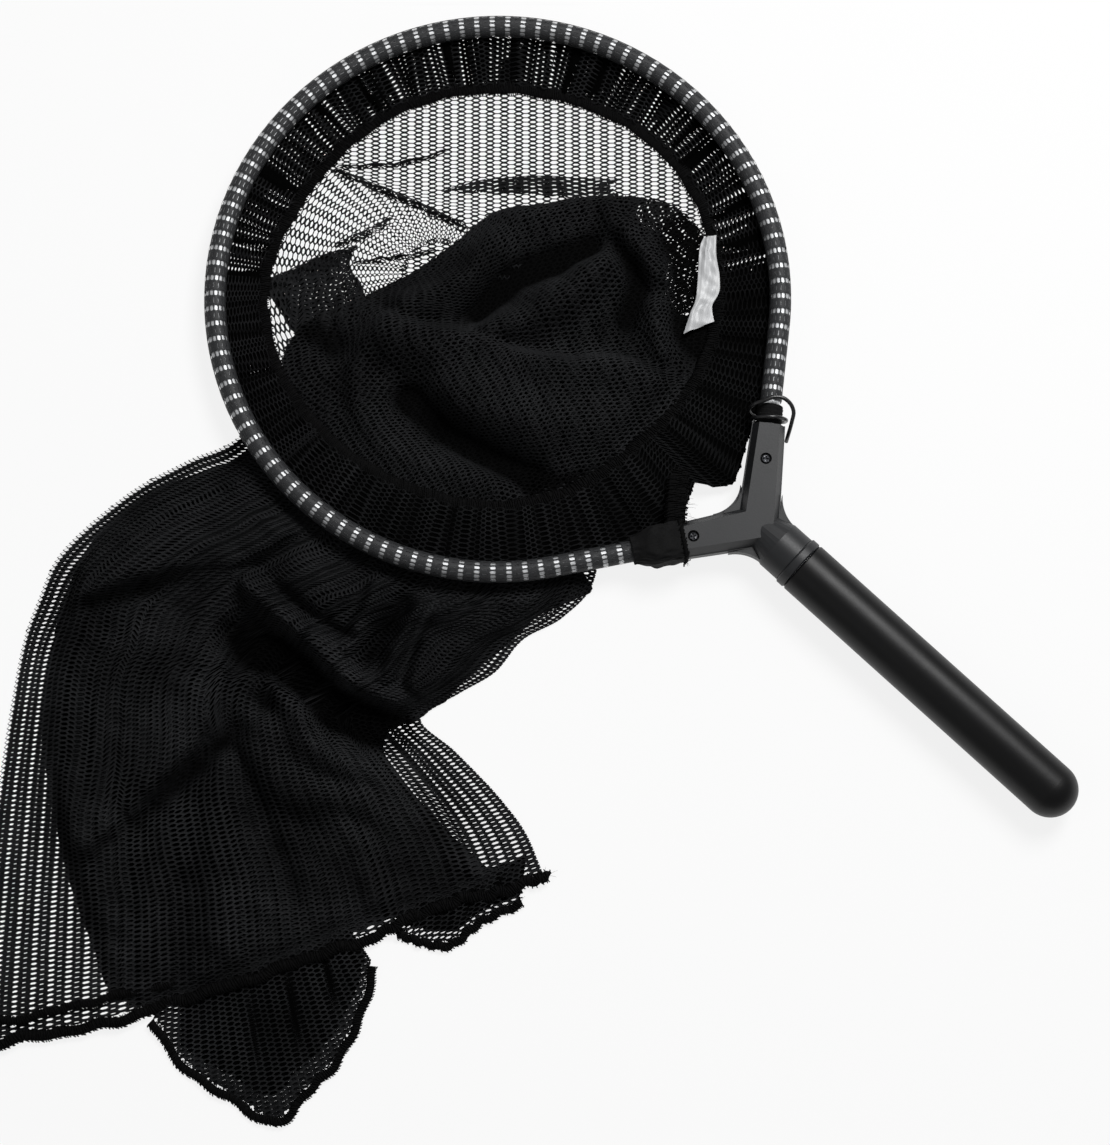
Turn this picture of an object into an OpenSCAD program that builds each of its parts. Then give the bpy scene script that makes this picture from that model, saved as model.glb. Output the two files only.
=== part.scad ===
/* [Hoop] */
// Diameter of the hoop, measured at the middle of its tube
hoop_d = 364; // [320:1:420]
// Outside diameter of the hoop tube
hoop_tube_d = 12; // [10:0.5:14]
// Wall of the hoop tube
hoop_wall = 1.2; // [0.8:0.1:2]
// Angle from the handle at which the round of the hoop turns into its straight ends
hoop_leave_angle = 36; // [32:1:40]
// Distance from the point where the straight ends would cross to each tube end
hoop_end_gap = 22; // [18:1:28]

/* [Yoke] */
// Length of each arm, from the crossing of the arms to the socket mouth
arm_l = 66; // [60:1:80]
// Width of an arm at its socket mouth
arm_mouth_w = 21; // [19:0.5:25]
// Width of an arm where it meets the neck
arm_root_w = 27; // [24:0.5:31]
// Height of the two closed shells over the arms
yoke_t = 24; // [21:0.5:28]
// Height of the straight wall on each side of the parting line
yoke_flange_h = 4; // [2:0.5:6]
// How far the sloping walls draw in from the straight wall to the flat face
yoke_slope_in = 4; // [2:0.5:5]
// Radius of the inside corner between the arms
crotch_r = 14; // [8:1:18]
// Radius of the web in that corner, on the lower shell
web_r = 22; // [16:1:28]
// Thickness of that web
web_t = 3; // [2:0.5:4]
// Radius where an arm runs into the neck
shoulder_r = 25; // [15:1:35]
// Diameter of the round neck
neck_d = 33; // [31:0.5:34.5]
// Length of the neck, from the crossing of the arms to the collar
neck_l = 31; // [27:1:40]
// Gap between the closed shells
parting_gap = 0.2; // [0.1:0.05:0.4]
// Room between a tube and its socket
socket_fit = 0.2; // [0.15:0.05:0.3]

/* [Screws] */
// Distance of each screw from the crossing of the arms
screw_along = 42; // [36:1:50]
// Diameter of the screw shank
screw_d = 3.5; // [3:0.1:4]
// Diameter of the pan head
screw_head_d = 6.4; // [5.5:0.1:7.5]
// Height of the pan head
screw_head_h = 2.2; // [1.6:0.1:2.8]
// Depth of the counterbore in the upper shell
counterbore_depth = 3; // [2.4:0.1:4]
// Length of the shank under the head
screw_l = 17; // [13:0.5:18]

/* [Handle] */
// Outside diameter of the grip
grip_d = 35; // [32:0.5:40]
// Length of the grip, with its round end
grip_l = 224; // [160:1:320]
// Thickness of the closed round end in front of the core tube
grip_end_t = 20; // [18:1:30]
// Outside diameter of the core tube inside the grip
core_d = 25; // [22:0.5:26]
// Wall of the core tube
core_wall = 1.5; // [1:0.1:2.5]
// Length of core tube held in the neck
core_hold_l = 20; // [12:1:26]
// Width of the collar ring
collar_w = 6; // [4:0.5:9]
// Wall of the collar ring
collar_wall = 2.6; // [2:0.1:3]
// Gap between the collar and its neighbours
collar_gap = 0.3; // [0.2:0.05:0.5]

/* [Net] */
// Thickness of the mesh sleeve round the hoop
sleeve_t = 1; // [0.6:0.1:2]
// Gap between a soft piece and what it lies against
soft_gap = 0.3; // [0.2:0.05:0.5]
// Width of the gathered band, from the sleeve to its seam
header_w = 31; // [22:1:40]
// Thickness of the gathered band
header_t = 2.4; // [1.6:0.1:4]
// Number of gathers round the band
header_gathers = 36; // [24:1:44]
// Depth of the gathers
gather_depth = 1.2; // [0.4:0.1:2]
// Width of the seam under the gathered band
seam_w = 7; // [5:0.5:9]
// Height of the seam
seam_h = 3.6; // [2.6:0.1:4.5]
// Thickness of the single layer of net that lies on the floor
net_t = 0.8; // [0.6:0.1:1.4]
// Spacing of the net's gaps across its columns
gap_pitch_x = 9; // [8:0.5:14]
// Spacing of the net's gaps along its columns
gap_pitch_y = 7; // [6:0.5:12]
// Width of the bars between the gaps
net_bar = 2.6; // [1.8:0.1:4]
// Height of the bunched net in the hoop
bunch_h = 30; // [18:1:32]
// Height of the folds in the sock's tail
tail_h = 22; // [14:1:26]
// Thickness of the layers that pass under the hoop
tail_under_hoop = 8; // [5:0.5:8.5]
// Diameter of the overlocked hem
hem_d = 4.6; // [3:0.2:6]
// Width of the bound sleeve end beside the upper arm
binding_w = 13; // [8:1:18]
// Thickness of that binding
binding_t = 2.4; // [1.4:0.1:3]
// Length of the ragged sleeve end that is pulled over the other arm
cuff_over_arm = 13; // [8:1:15]
// Length of that sleeve end beyond the arm
cuff_past_arm = 12; // [8:1:16]
// Wall of the ragged sleeve end
cuff_t = 2; // [1.2:0.1:3]
// Diameter of the tie cord
cord_d = 2.6; // [2:0.1:3.2]

/* [Label] */
// Length of the sewn label
label_l = 58; // [40:1:70]
// Width of the folded label
label_w = 15; // [10:1:20]
// Thickness of one ply of the label
label_t = 0.5; // [0.4:0.1:0.8]

/* [Hidden] */
$fn = 64;
over = 1;

// The tool lies on its grip, so the grip sets the height of the hoop's plane.
tool_z = grip_d / 2;
hoop_r = hoop_d / 2;
tube_r = hoop_tube_d / 2;
arm_angle = 90 - hoop_leave_angle;
cross_x = hoop_r / cos(hoop_leave_angle);
straight_l = hoop_r * tan(hoop_leave_angle);
half_t = yoke_t / 2;
neck_end = cross_x + neck_l;
// Half width of the straight wall along the neck, inside the neck's round
neck_half = neck_d / 2 - 1.2;
spigot_d = grip_d - 2 * collar_wall - 2 * collar_gap;
grip_start = neck_end + collar_w + 2 * collar_gap;
grip_end = grip_start + grip_l;
core_start = neck_end - core_hold_l;
core_end = grip_end - grip_end_t - collar_gap;
// The straight ends lap the round of the hoop, a hair thicker
end_lap = 2;
end_step = 0.08;
plastic = "#333436";
net_black = "#191a1c";
satin_white = "#ececea";
bare_metal = "#d8dadc";

// Soft pieces, from the sleeve inwards and down to the floor
sleeve_in_r = tube_r + soft_gap;
sleeve_r = sleeve_in_r + sleeve_t;
header_in = (sleeve_r + end_step + soft_gap) * cos(45);
header_out_r = hoop_r - header_in;
header_out_z = tool_z - header_in - header_t / 2;
seam_out_r = header_out_r - header_w;
seam_in_r = seam_out_r - seam_w;
seam_mid_r = (seam_out_r + seam_in_r) / 2;
net_r = seam_in_r - soft_gap;
tail_dir = -70;
seam_low_z = seam_h / 2;
seam_high_z = tail_under_hoop + soft_gap + seam_h / 2 + 1;

function ease(x) = let (t = min(max(x, 0), 1)) t * t * (3 - 2 * t);
function turn(p, a) = [p.x * cos(a) - p.y * sin(a), p.x * sin(a) + p.y * cos(a)];
function lerp(a, b, t) = a + (b - a) * t;
function catmull(a, b, c, d, t) =
    0.5 * (2 * b + (c - a) * t + (2 * a - 5 * b + 4 * c - d) * t * t + (3 * b - a - 3 * c + d) * t * t * t);
// Point at share s of an open smooth curve through hand-chosen points
function curve_at(pts, s) = let (
        n = len(pts) - 1,
        x = min(max(s, 0), 1) * n,
        i = min(floor(x), n - 1)
    ) catmull(pts[max(i - 1, 0)], pts[i], pts[i + 1], pts[min(i + 2, n)], x - i);
// Point at share s of a closed smooth curve
function loop_at(pts, s) = let (
        n = len(pts),
        x = (s - floor(s)) * n,
        i = floor(x)
    ) catmull(pts[(i + n - 1) % n], pts[i % n], pts[(i + 1) % n], pts[(i + 2) % n], x - i);

// Height of the seam round the hoop: on the floor at the far side, over the tail at the near side
function seam_z(a) = lerp(seam_low_z, seam_high_z, ease((cos(a - tail_dir) + 0.15) / 0.5));

// Places the children on an arm: +X along the arm from the crossing, +Z up from the hoop's plane
module at_arm(side = 1) {
    mirror([0, side > 0 ? 0 : 1, 0])
        translate([cross_x, 0, tool_z]) rotate([0, 0, 180 - arm_angle]) children();
}

// A round bar along an arm
module along_arm(from, to, r, side = 1) {
    at_arm(side) translate([from, 0, 0]) rotate([0, 90, 0]) cylinder(h = to - from, r = r);
}

// A round bar along the handle
module along_handle(from, to, r) {
    translate([from, 0, tool_z]) rotate([0, 90, 0]) cylinder(h = to - from, r = r);
}

// A round pipe along an arm
module pipe_along_arm(from, to, r, bore_r, side) {
    difference() {
        along_arm(from, to, r, side);
        along_arm(from - over, to + over, bore_r, side);
    }
}

// A pipe swept round the hoop and out along both straight ends, which lap the round by a hair
module hoop_sweep(r, bore_r, from_left, from_right) {
    translate([0, 0, tool_z]) rotate([0, 0, hoop_leave_angle])
        rotate_extrude(angle = 360 - 2 * hoop_leave_angle, $fn = 96)
            translate([hoop_r, 0]) difference() {
                circle(r = r);
                circle(r = bore_r);
            }
    pipe_along_arm(from_left, straight_l + end_lap, r + end_step, bore_r + end_step, 1);
    pipe_along_arm(from_right, straight_l + end_lap, r + end_step, bore_r + end_step, -1);
}

module hoop_tube() {
    color(bare_metal) difference() {
        hoop_sweep(tube_r, tube_r - hoop_wall, hoop_end_gap, hoop_end_gap);
        for (side = [-1, 1])
            at_arm(side) translate([screw_along, 0, -hoop_tube_d])
                cylinder(h = 2 * hoop_tube_d, d = screw_d + 4 * socket_fit);
    }
}

function arm_w(x) = lerp(arm_root_w, arm_mouth_w, x / arm_l);

// Plan of one arm
module arm_plan() {
    root = arm_root_w / 2;
    mouth = arm_mouth_w / 2;
    polygon([[0, -root], [arm_l, -mouth], [arm_l, mouth], [0, root]]);
    circle(r = root);
}

// Rounds the corner between the two arms with a fillet of radius r
module crotch_plan(r) {
    mid = cross_x - (arm_root_w / 2 + r) / sin(arm_angle);
    touch = [mid + r * sin(arm_angle), r * cos(arm_angle)];
    difference() {
        polygon([[mid, 0], touch, [cross_x, 0], [touch.x, -touch.y]]);
        translate([mid, 0]) circle(r = r);
    }
}

// Rounds the outside corner between one arm and the neck
module shoulder_plan(r) {
    edge = arm_root_w / 2;
    corner_x = cross_x + (edge - neck_half * cos(arm_angle)) / sin(arm_angle);
    reach = r / tan((180 - arm_angle) / 2);
    mid = [corner_x + reach, neck_half + r];
    difference() {
        polygon([
            [corner_x, neck_half - over],
            [corner_x + reach, neck_half - over],
            mid,
            [corner_x - reach * cos(arm_angle), neck_half + reach * sin(arm_angle)]
        ]);
        translate(mid) circle(r = r);
    }
}

module yoke_plan() {
    for (side = [0, 1])
        mirror([0, side, 0]) {
            translate([cross_x, 0]) rotate([0, 0, 180 - arm_angle]) arm_plan();
            shoulder_plan(shoulder_r);
        }
    crotch_plan(crotch_r);
    translate([cross_x, -neck_half]) square([neck_l - 2 * over, 2 * neck_half]);
}

// The sloping body of one arm, which rises out of the straight wall
module arm_slope() {
    lip = 0.5;
    root = arm_root_w / 2;
    mouth = arm_mouth_w / 2;
    hull() {
        translate([0, 0, yoke_flange_h / 2]) linear_extrude(height = yoke_flange_h / 2 + lip)
            polygon([
                [-root / 2, lip - root], [arm_l - lip, lip - mouth],
                [arm_l - lip, mouth - lip], [-root / 2, root - lip]
            ]);
        translate([0, 0, half_t - lip]) linear_extrude(height = lip)
            polygon([
                [-root / 2, yoke_slope_in - root], [arm_l - 2 * lip, yoke_slope_in - mouth],
                [arm_l - 2 * lip, mouth - yoke_slope_in], [-root / 2, root - yoke_slope_in]
            ]);
    }
}

// Upper half of the yoke's outside, from its parting plane up
module half_yoke() {
    round_l = 14;
    intersection() {
        union() {
            linear_extrude(height = yoke_flange_h) yoke_plan();
            for (side = [0, 1])
                mirror([0, side, 0]) translate([cross_x, 0]) rotate([0, 0, 180 - arm_angle]) arm_slope();
            hull() {
                translate([cross_x + over, 0, 0]) rotate([0, 90, 0])
                    cylinder(h = over, r = half_t - over / 2, $fn = 32);
                translate([neck_end - round_l, 0, 0]) rotate([0, 90, 0])
                    cylinder(h = over, d = neck_d - 0.2, $fn = 32);
            }
            translate([neck_end - round_l, 0, 0]) rotate([0, 90, 0])
                cylinder(h = round_l, d = neck_d);
            translate([neck_end - over, 0, 0]) rotate([0, 90, 0])
                cylinder(h = collar_w + collar_gap + over, d = spigot_d);
        }
        translate([0, -hoop_r, parting_gap / 2]) cube([2 * hoop_r, hoop_d, grip_d]);
    }
}

// Sockets for the two hoop ends and the core tube
module yoke_sockets() {
    for (side = [-1, 1])
        along_arm(hoop_end_gap - 2 * socket_fit, arm_l + over, tube_r + socket_fit, side);
    along_handle(core_start - 2 * socket_fit, grip_start + over, core_d / 2 + socket_fit);
}

module yoke_upper_shell() {
    color(plastic) difference() {
        translate([0, 0, tool_z]) half_yoke();
        yoke_sockets();
        for (side = [-1, 1])
            at_arm(side) translate([screw_along, 0, 0]) {
                cylinder(h = yoke_t, d = screw_d + 2 * socket_fit);
                translate([0, 0, half_t - counterbore_depth])
                    cylinder(h = yoke_t, d = screw_head_d + 1);
            }
    }
}

module yoke_lower_shell() {
    color(plastic) difference() {
        translate([0, 0, tool_z]) mirror([0, 0, 1]) union() {
            half_yoke();
            translate([0, 0, parting_gap / 2]) linear_extrude(height = web_t) crotch_plan(web_r);
        }
        yoke_sockets();
        for (side = [-1, 1])
            at_arm(side) translate([screw_along, 0, half_t - counterbore_depth - screw_l - over])
                cylinder(h = screw_l, d = screw_d + socket_fit);
    }
}

// Two pan-head screws with a cross recess, each through a shell, a hoop end and into the other shell
module yoke_screws() {
    recess_w = 1;
    recess_l = screw_head_d * 0.6;
    recess_h = screw_head_h * 0.6;
    color("#3c3d40") for (side = [-1, 1])
        at_arm(side) translate([screw_along, 0, half_t - counterbore_depth]) difference() {
            union() {
                translate([0, 0, -screw_l]) cylinder(h = screw_l + screw_head_h / 2, d = screw_d);
                cylinder(h = screw_head_h * 0.6, d = screw_head_d);
                translate([0, 0, screw_head_h * 0.6])
                    cylinder(h = screw_head_h * 0.4, d1 = screw_head_d, d2 = screw_head_d * 0.7);
            }
            for (quarter = [0, 90])
                rotate([0, 0, quarter])
                    translate([-recess_l / 2, -recess_w / 2, screw_head_h - recess_h])
                        cube([recess_l, recess_w, recess_h + over]);
        }
}

// Turns a half profile, drawn as [radius, distance], about the handle's axis
module turned(from) {
    translate([from, 0, tool_z]) rotate([0, 90, 0]) rotate_extrude($fn = 96) children();
}

module collar_ring() {
    out_r = grip_d / 2;
    in_r = spigot_d / 2 + collar_gap;
    edge = 0.8;
    color(plastic) turned(neck_end + collar_gap) polygon([
        [in_r, 0], [out_r - edge, 0], [out_r, edge],
        [out_r, collar_w - edge], [out_r - edge, collar_w], [in_r, collar_w]
    ]);
}

module handle_core() {
    color(bare_metal) difference() {
        along_handle(core_start, core_end, core_d / 2);
        along_handle(core_start - over, core_end + over, core_d / 2 - core_wall);
    }
}

// Moulded grip with a round closed end, over the core tube
module handle_grip() {
    r = grip_d / 2;
    lip = 1;
    color("#232426") difference() {
        turned(grip_start) union() {
            polygon([[0, 0], [r - lip, 0], [r, lip], [r, grip_l - r], [0, grip_l - r]]);
            intersection() {
                translate([0, grip_l - r]) circle(r = r);
                translate([0, grip_l - r]) square([r, r]);
            }
        }
        along_handle(grip_start - over, grip_end - grip_end_t, core_d / 2 + socket_fit);
    }
}

module rim_sleeve() {
    from_left = arm_l + binding_w + 3 * soft_gap;
    from_right = cuff_end() + soft_gap;
    color(net_black) hoop_sweep(sleeve_r, sleeve_in_r, from_left, from_right);
}

// Bound end of the sleeve, a barrel of black tape round the hoop beside the upper arm
module sleeve_binding() {
    r = sleeve_in_r + binding_t;
    edge = 0.9;
    color(net_black) at_arm(1) translate([arm_l + 2 * soft_gap, 0, 0]) rotate([0, 90, 0])
        rotate_extrude() polygon([
            [sleeve_in_r, 0], [r - edge, 0], [r, edge],
            [r, binding_w - edge], [r - edge, binding_w], [sleeve_in_r, binding_w]
        ]);
}

function cuff_end() = arm_l + cuff_past_arm;

// Ragged end of the sleeve, pulled over the mouth of the other arm
module sleeve_cuff() {
    from = arm_l - cuff_over_arm;
    inside_h = yoke_t + 4 * soft_gap;
    inside_w = arm_w(from) + 4 * soft_gap;
    round_r = 5;
    corner = [inside_w, inside_h] / 2 + [cuff_t - round_r, cuff_t - round_r];
    color(net_black) at_arm(-1) difference() {
        hull() {
            for (x = [from, arm_l])
                for (y = [-1, 1])
                    for (z = [-1, 1])
                        translate([x, y * corner.x, z * corner.y]) rotate([0, 90, 0])
                            cylinder(h = over, r = round_r, $fn = 24);
            translate([cuff_end() - over, 0, 0]) rotate([0, 90, 0])
                cylinder(h = over, r = sleeve_r + cuff_t, $fn = 32);
        }
        translate([from - over, -inside_w / 2, -inside_h / 2])
            cube([cuff_over_arm + over + soft_gap, inside_w, inside_h]);
        translate([from, 0, 0]) rotate([0, 90, 0]) cylinder(h = hoop_d, r = sleeve_in_r);
    }
}

// Closed ring of equal sections, each a closed loop of points
module ring_solid(sections) {
    n = len(sections);
    k = len(sections[0]);
    points = [for (s = sections) each s];
    faces = [for (i = [0:n - 1], j = [0:k - 1]) let (
            a = i * k + j,
            b = i * k + (j + 1) % k,
            c = ((i + 1) % n) * k + (j + 1) % k,
            d = ((i + 1) % n) * k + j
        ) each [[a, c, b], [a, d, c]]];
    polyhedron(points, faces, convexity = 8);
}

// Open tube of equal sections with flat ends
module tube_solid(sections) {
    n = len(sections);
    k = len(sections[0]);
    points = [for (s = sections) each s];
    walls = [for (i = [0:n - 2], j = [0:k - 1]) let (
            a = i * k + j,
            b = i * k + (j + 1) % k,
            c = (i + 1) * k + (j + 1) % k,
            d = (i + 1) * k + j
        ) each [[a, b, c], [a, c, d]]];
    ends = [for (j = [1:k - 2]) each [[0, j + 1, j], [(n - 1) * k, (n - 1) * k + j, (n - 1) * k + j + 1]]];
    polyhedron(points, concat(walls, ends), convexity = 8);
}

// Gathered double band that hangs from the sleeve to the seam
module header_band() {
    steps = header_gathers * 4;
    in_r = seam_out_r + soft_gap;
    color(net_black) ring_solid([for (i = [0:steps - 1]) let (
            a = 360 * i / steps,
            wave = gather_depth * sin(360 * i / 4),
            in_z = max(seam_z(a), header_t / 2 + gather_depth)
        ) [
            [header_out_r * cos(a), header_out_r * sin(a), header_out_z + header_t / 2],
            [header_out_r * cos(a), header_out_r * sin(a), header_out_z - header_t / 2],
            [in_r * cos(a), in_r * sin(a), in_z + wave - header_t / 2],
            [in_r * cos(a), in_r * sin(a), in_z + wave + header_t / 2]
        ]]);
}

// Overlocked seam between the band and the sock
module header_seam() {
    steps = 72;
    sides = 8;
    color("#101113") ring_solid([for (i = [0:steps - 1]) let (a = 360 * i / steps)
        [for (j = [0:sides - 1]) let (
                b = 360 * (j + 0.5) / sides,
                r = seam_mid_r + seam_w / 2 * cos(b) / cos(180 / sides)
            ) [r * cos(a), r * sin(a), seam_z(a) - seam_h / 2 * sin(b) / cos(180 / sides)]]]);
}

// Outline of the bunched net inside the hoop, as [angle, distance from the seam]
bunch_rim = [
    [70, 6], [46, 25], [18, 12], [-20, 3], [-50, 2], [-80, 2], [-108, 3], [-122, 5], [-131, 18],
    [-140, 48], [-155, 75], [170, 89], [136, 78], [107, 64], [93, 44], [80, 20]
];
// Size of the bunched net against one in a 364 mm hoop, for which its places are given
bunch_scale = net_r / 138;
bunch_outline = [for (p = bunch_rim) (net_r - p[1] * bunch_scale) * [cos(p[0]), sin(p[0])]];
bunch_mid = [30, -10] * bunch_scale;
// Folds of the bunched net: line, height (below zero for a hollow), reach to the line's left and right
bunch_folds = [
    [[[-36, -62], [10, -36], [68, -5], [114, 25]], 23, 13, 26],
    [[[32, -60], [76, -42], [108, -20]], 23, 32, 24],
    [[[-37, -61], [-39, -88], [-24, -108], [3, -121], [33, -119], [88, -95]], 19, 13, 12],
    [[[-41, -43], [-24, -10], [-30, 27]], 16, 12, 13],
    [[[35, 59], [35, 31], [27, 1], [13, -21]], 19, 12, 15],
    [[[14, 92], [37, 86], [63, 82]], 11, 13, 13],
    [[[-38, 42], [-22, 64], [0, 88], [15, 106]], 12, 12, 12],
    [[[5, -88], [39, -86], [97, -74]], -21, 12, 12],
    [[[104, -72], [119, -56], [124, -32]], -14, 12, 12],
    [[[-2, -17], [-3, 14], [21, 65]], -19, 12, 12],
    [[[70, 45], [56, 68], [32, 76]], -9, 14, 14]
];

function total(v) = v * [for (x = v) 1];
// Way from the nearest point of a line's piece to a place
function off_piece(a, b, p) = p - lerp(a, b, min(max((p - a) * (b - a) / ((b - a) * (b - a)), 0), 1));
// Height that one fold gives a place
function fold_swell(fold, p) = let (
        line = fold[0],
        off = [for (i = [0:len(line) - 2]) off_piece(line[i], line[i + 1], p)],
        far = [for (o = off) norm(o)],
        i = search(min(far), far)[0],
        way = line[i + 1] - line[i],
        leftward = (way.x * off[i].y - way.y * off[i].x) / (norm(way) * (far[i] + 0.01)),
        reach = lerp(fold[3], fold[2], (leftward + 1) / 2)
    ) fold[1] * exp(-pow(far[i] / reach, 2));
// Height of all folds at a place: ridges merge as the higher one, and hollows are cut out of them
function folds_at(folds, p) = let (swells = [for (f = folds) fold_swell(f, p)])
    pow(total([for (h = swells) h > 0 ? pow(h, 4) : 0]), 0.25) + total([for (h = swells) min(h, 0)]);

function bunch_edge(s) = loop_at(bunch_outline, -s);
// Height of the bunched net: its folds die out at its edge, which rises with the seam at the near side
function bunch_top(p, share) = let (
        full = bunch_h / 30 * max(7 + folds_at(bunch_folds, p / bunch_scale), 1),
        at_seam = ease((norm(p) / bunch_scale - 104) / 30)
    ) net_t + soft_gap + 1.2 + full * pow(1 - pow(share, 5), 0.8) * (1 - 0.45 * at_seam)
        + (seam_z(atan2(p.y, p.x)) - seam_low_z) * at_seam;

module sock_bunch() {
    spokes = 64;
    rings = 20;
    base = net_t + soft_gap;
    top = [for (k = [1:rings], i = [0:spokes - 1]) let (
            share = k / rings,
            p = lerp(bunch_mid, bunch_edge(i / spokes), share)
        ) [p.x, p.y, bunch_top(p, share)]];
    rim = [for (i = [0:spokes - 1]) let (p = bunch_edge(i / spokes)) [p.x, p.y, base]];
    crown = [[bunch_mid.x, bunch_mid.y, bunch_top(bunch_mid, 0)], [bunch_mid.x, bunch_mid.y, base]];
    n_top = rings * spokes;
    faces = [for (k = [0:rings - 1], i = [0:spokes - 1]) let (
            j = (i + 1) % spokes,
            a = k * spokes + i,
            b = k * spokes + j,
            c = (k + 1) * spokes + j,
            d = (k + 1) * spokes + i
        ) each [[a, b, c], [a, c, d]]];
    fans = [for (i = [0:spokes - 1]) let (j = (i + 1) % spokes)
        each [[n_top + spokes, j, i], [n_top + spokes + 1, n_top + i, n_top + j]]];
    color(net_black) polyhedron(concat(top, rim, crown), concat(faces, fans), convexity = 8);
}

// Part of the floor layer that is open to view, beyond the bunched net
module open_net_plan(border) {
    difference() {
        circle(r = net_r - border);
        polygon([for (i = [0:55]) let (
                p = bunch_edge(i / 56),
                d = p - bunch_mid
            ) bunch_mid + d * (1 + border / norm(d))]);
        for (a = [60, 0, -60, -110])
            rotate([0, 0, a - 40]) square([net_r * 2, net_r * 2]);
    }
}

// Single layer of net on the floor inside the hoop, with its gaps where it lies open
module mouth_net() {
    border = 3;
    reach = floor(net_r / gap_pitch_y);
    gap = [gap_pitch_x - net_bar, gap_pitch_y - net_bar];
    color(net_black) linear_extrude(height = net_t) difference() {
        circle(r = net_r, $fn = 120);
        intersection() {
            rotate([0, 0, tail_dir + 90]) for (row = [-reach:reach], column = [-reach:reach])
                translate([column * gap_pitch_x + (row % 2) * gap_pitch_x / 2, row * gap_pitch_y] - gap / 2)
                    square(gap);
            open_net_plan(border);
        }
    }
}

// Outline of the tail, as [distance beyond the hoop, distance to the handle's side]
tail_start_angle = 52;
rim_out_r = hoop_r + sleeve_r;
tail_start_r = net_r + 2 * soft_gap;
tail_left_pts = [
    [-44, -118], [-14, -143], [20, -169], [70, -192], [106, -193], [140, -189],
    [206, -171], [260, -154], [320, -133], [373, -113]
];
tail_right_pts = [
    [-48, 130], [-16, 122], [8, 104], [34, 96], [56, 80],
    [80, 64], [90, 92], [104, 126], [119, 153], [138, 173]
];
tail_end_pts = [[373, -113], [325, -41], [267, 28], [216, 86], [185, 114], [158, 150], [138, 173]];
flap_pts = [[313, -20], [333, 13], [339, 46], [342, 78], [318, 88], [295, 97], [262, 99], [230, 94]];
small_flap_pts = [[208, 101], [207, 116], [202, 134], [181, 146], [160, 166]];

function from_rim(p) = turn([rim_out_r + p.x, p.y], tail_dir);
function tail_start(u) = let (a = tail_dir + lerp(-tail_start_angle, tail_start_angle, u))
    tail_start_r * [cos(a), sin(a)];
tail_left = concat([tail_start(0)], [for (p = tail_left_pts) from_rim(p)]);
tail_right = concat([tail_start(1)], [for (p = tail_right_pts) from_rim(p)]);
tail_end = [for (p = tail_end_pts) from_rim(p)];

// Point of the tail at share u across it and share v along it, from its four edges
function tail_point(u, v) =
    lerp(tail_start(u), curve_at(tail_end, u), v)
    + lerp(curve_at(tail_left, v), curve_at(tail_right, v), u)
    - lerp(lerp(tail_start(0), tail_start(1), u), lerp(tail_end[0], tail_end[len(tail_end) - 1], u), v);

// Folds of the tail, as those of the bunched net, in the coordinates of the outline
tail_fold_pts = [
    [[[0, -57], [36, -84], [56, -123], [93, -164]], 14, 20, 32],
    [[[42, -85], [76, -73], [108, -63], [149, -61], [192, -76], [229, -93]], 14, 24, 34],
    [[[47, -72], [67, -12], [81, 45]], 17, 15, 14],
    [[[28, -44], [32, -26]], 14, 19, 17],
    [[[6, 8], [36, 10], [62, 6]], 13, 15, 15],
    [[[-8, 70], [17, 46], [66, 44]], 14, 15, 15],
    [[[98, -31], [106, -10], [123, 4], [126, 30], [120, 55]], 15, 14, 17],
    [[[124, -35], [147, -11], [153, 18], [143, 48]], 11, 15, 15],
    [[[157, -42], [207, -23], [256, 3]], 6, 15, 15],
    [[[82, -60], [86, -33], [98, 27], [95, 50]], -14, 13, 13],
    [[[111, -29], [145, -42], [209, -62]], -6, 17, 17]
];
tail_folds = [for (f = tail_fold_pts) [[for (q = f[0]) from_rim(q)], f[1], f[2], f[3]]];

// Height of the tail: thin see-through borders and a thick middle in folds
function tail_top(u, v) = let (
        p = tail_point(u, v),
        out = ease((norm(p) - rim_out_r - 2) / 24),
        thin = hem_d / 2,
        middle = ease((u - 0.05) / 0.13) * ease((0.97 - u) / 0.16) * ease((1.02 - v) / 0.07),
        full = tail_h / 22 * max(5 + folds_at(tail_folds, p), 1)
    ) max(thin, lerp(min(tail_under_hoop, thin + tail_under_hoop * middle), thin + full * middle, out));

module sock_tail() {
    columns = 40;
    rows = 72;
    k = columns + 1;
    n = k * (rows + 1);
    top = [for (j = [0:rows], i = [0:columns]) let (p = tail_point(i / columns, j / rows))
        [p.x, p.y, tail_top(i / columns, j / rows)]];
    // The edge of the sheet, once round, as indices into the top
    edge = concat(
        [for (i = [0:columns]) i],
        [for (j = [1:rows]) j * k + columns],
        [for (i = [1:columns]) rows * k + columns - i],
        [for (j = [1:rows - 1]) (rows - j) * k]
    );
    m = len(edge);
    foot = [for (e = edge) [top[e].x, top[e].y, 0]];
    skin = [for (j = [0:rows - 1], i = [0:columns - 1]) let (a = j * k + i)
        each [[a, a + k + 1, a + k], [a, a + 1, a + k + 1]]];
    walls = [for (e = [0:m - 1]) let (f = (e + 1) % m)
        each [[edge[e], n + f, edge[f]], [edge[e], n + e, n + f]]];
    sole = [[for (e = [0:m - 1]) n + m - 1 - e]];
    color(net_black) polyhedron(concat(top, foot), concat(skin, walls, sole), convexity = 10);
}

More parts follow.
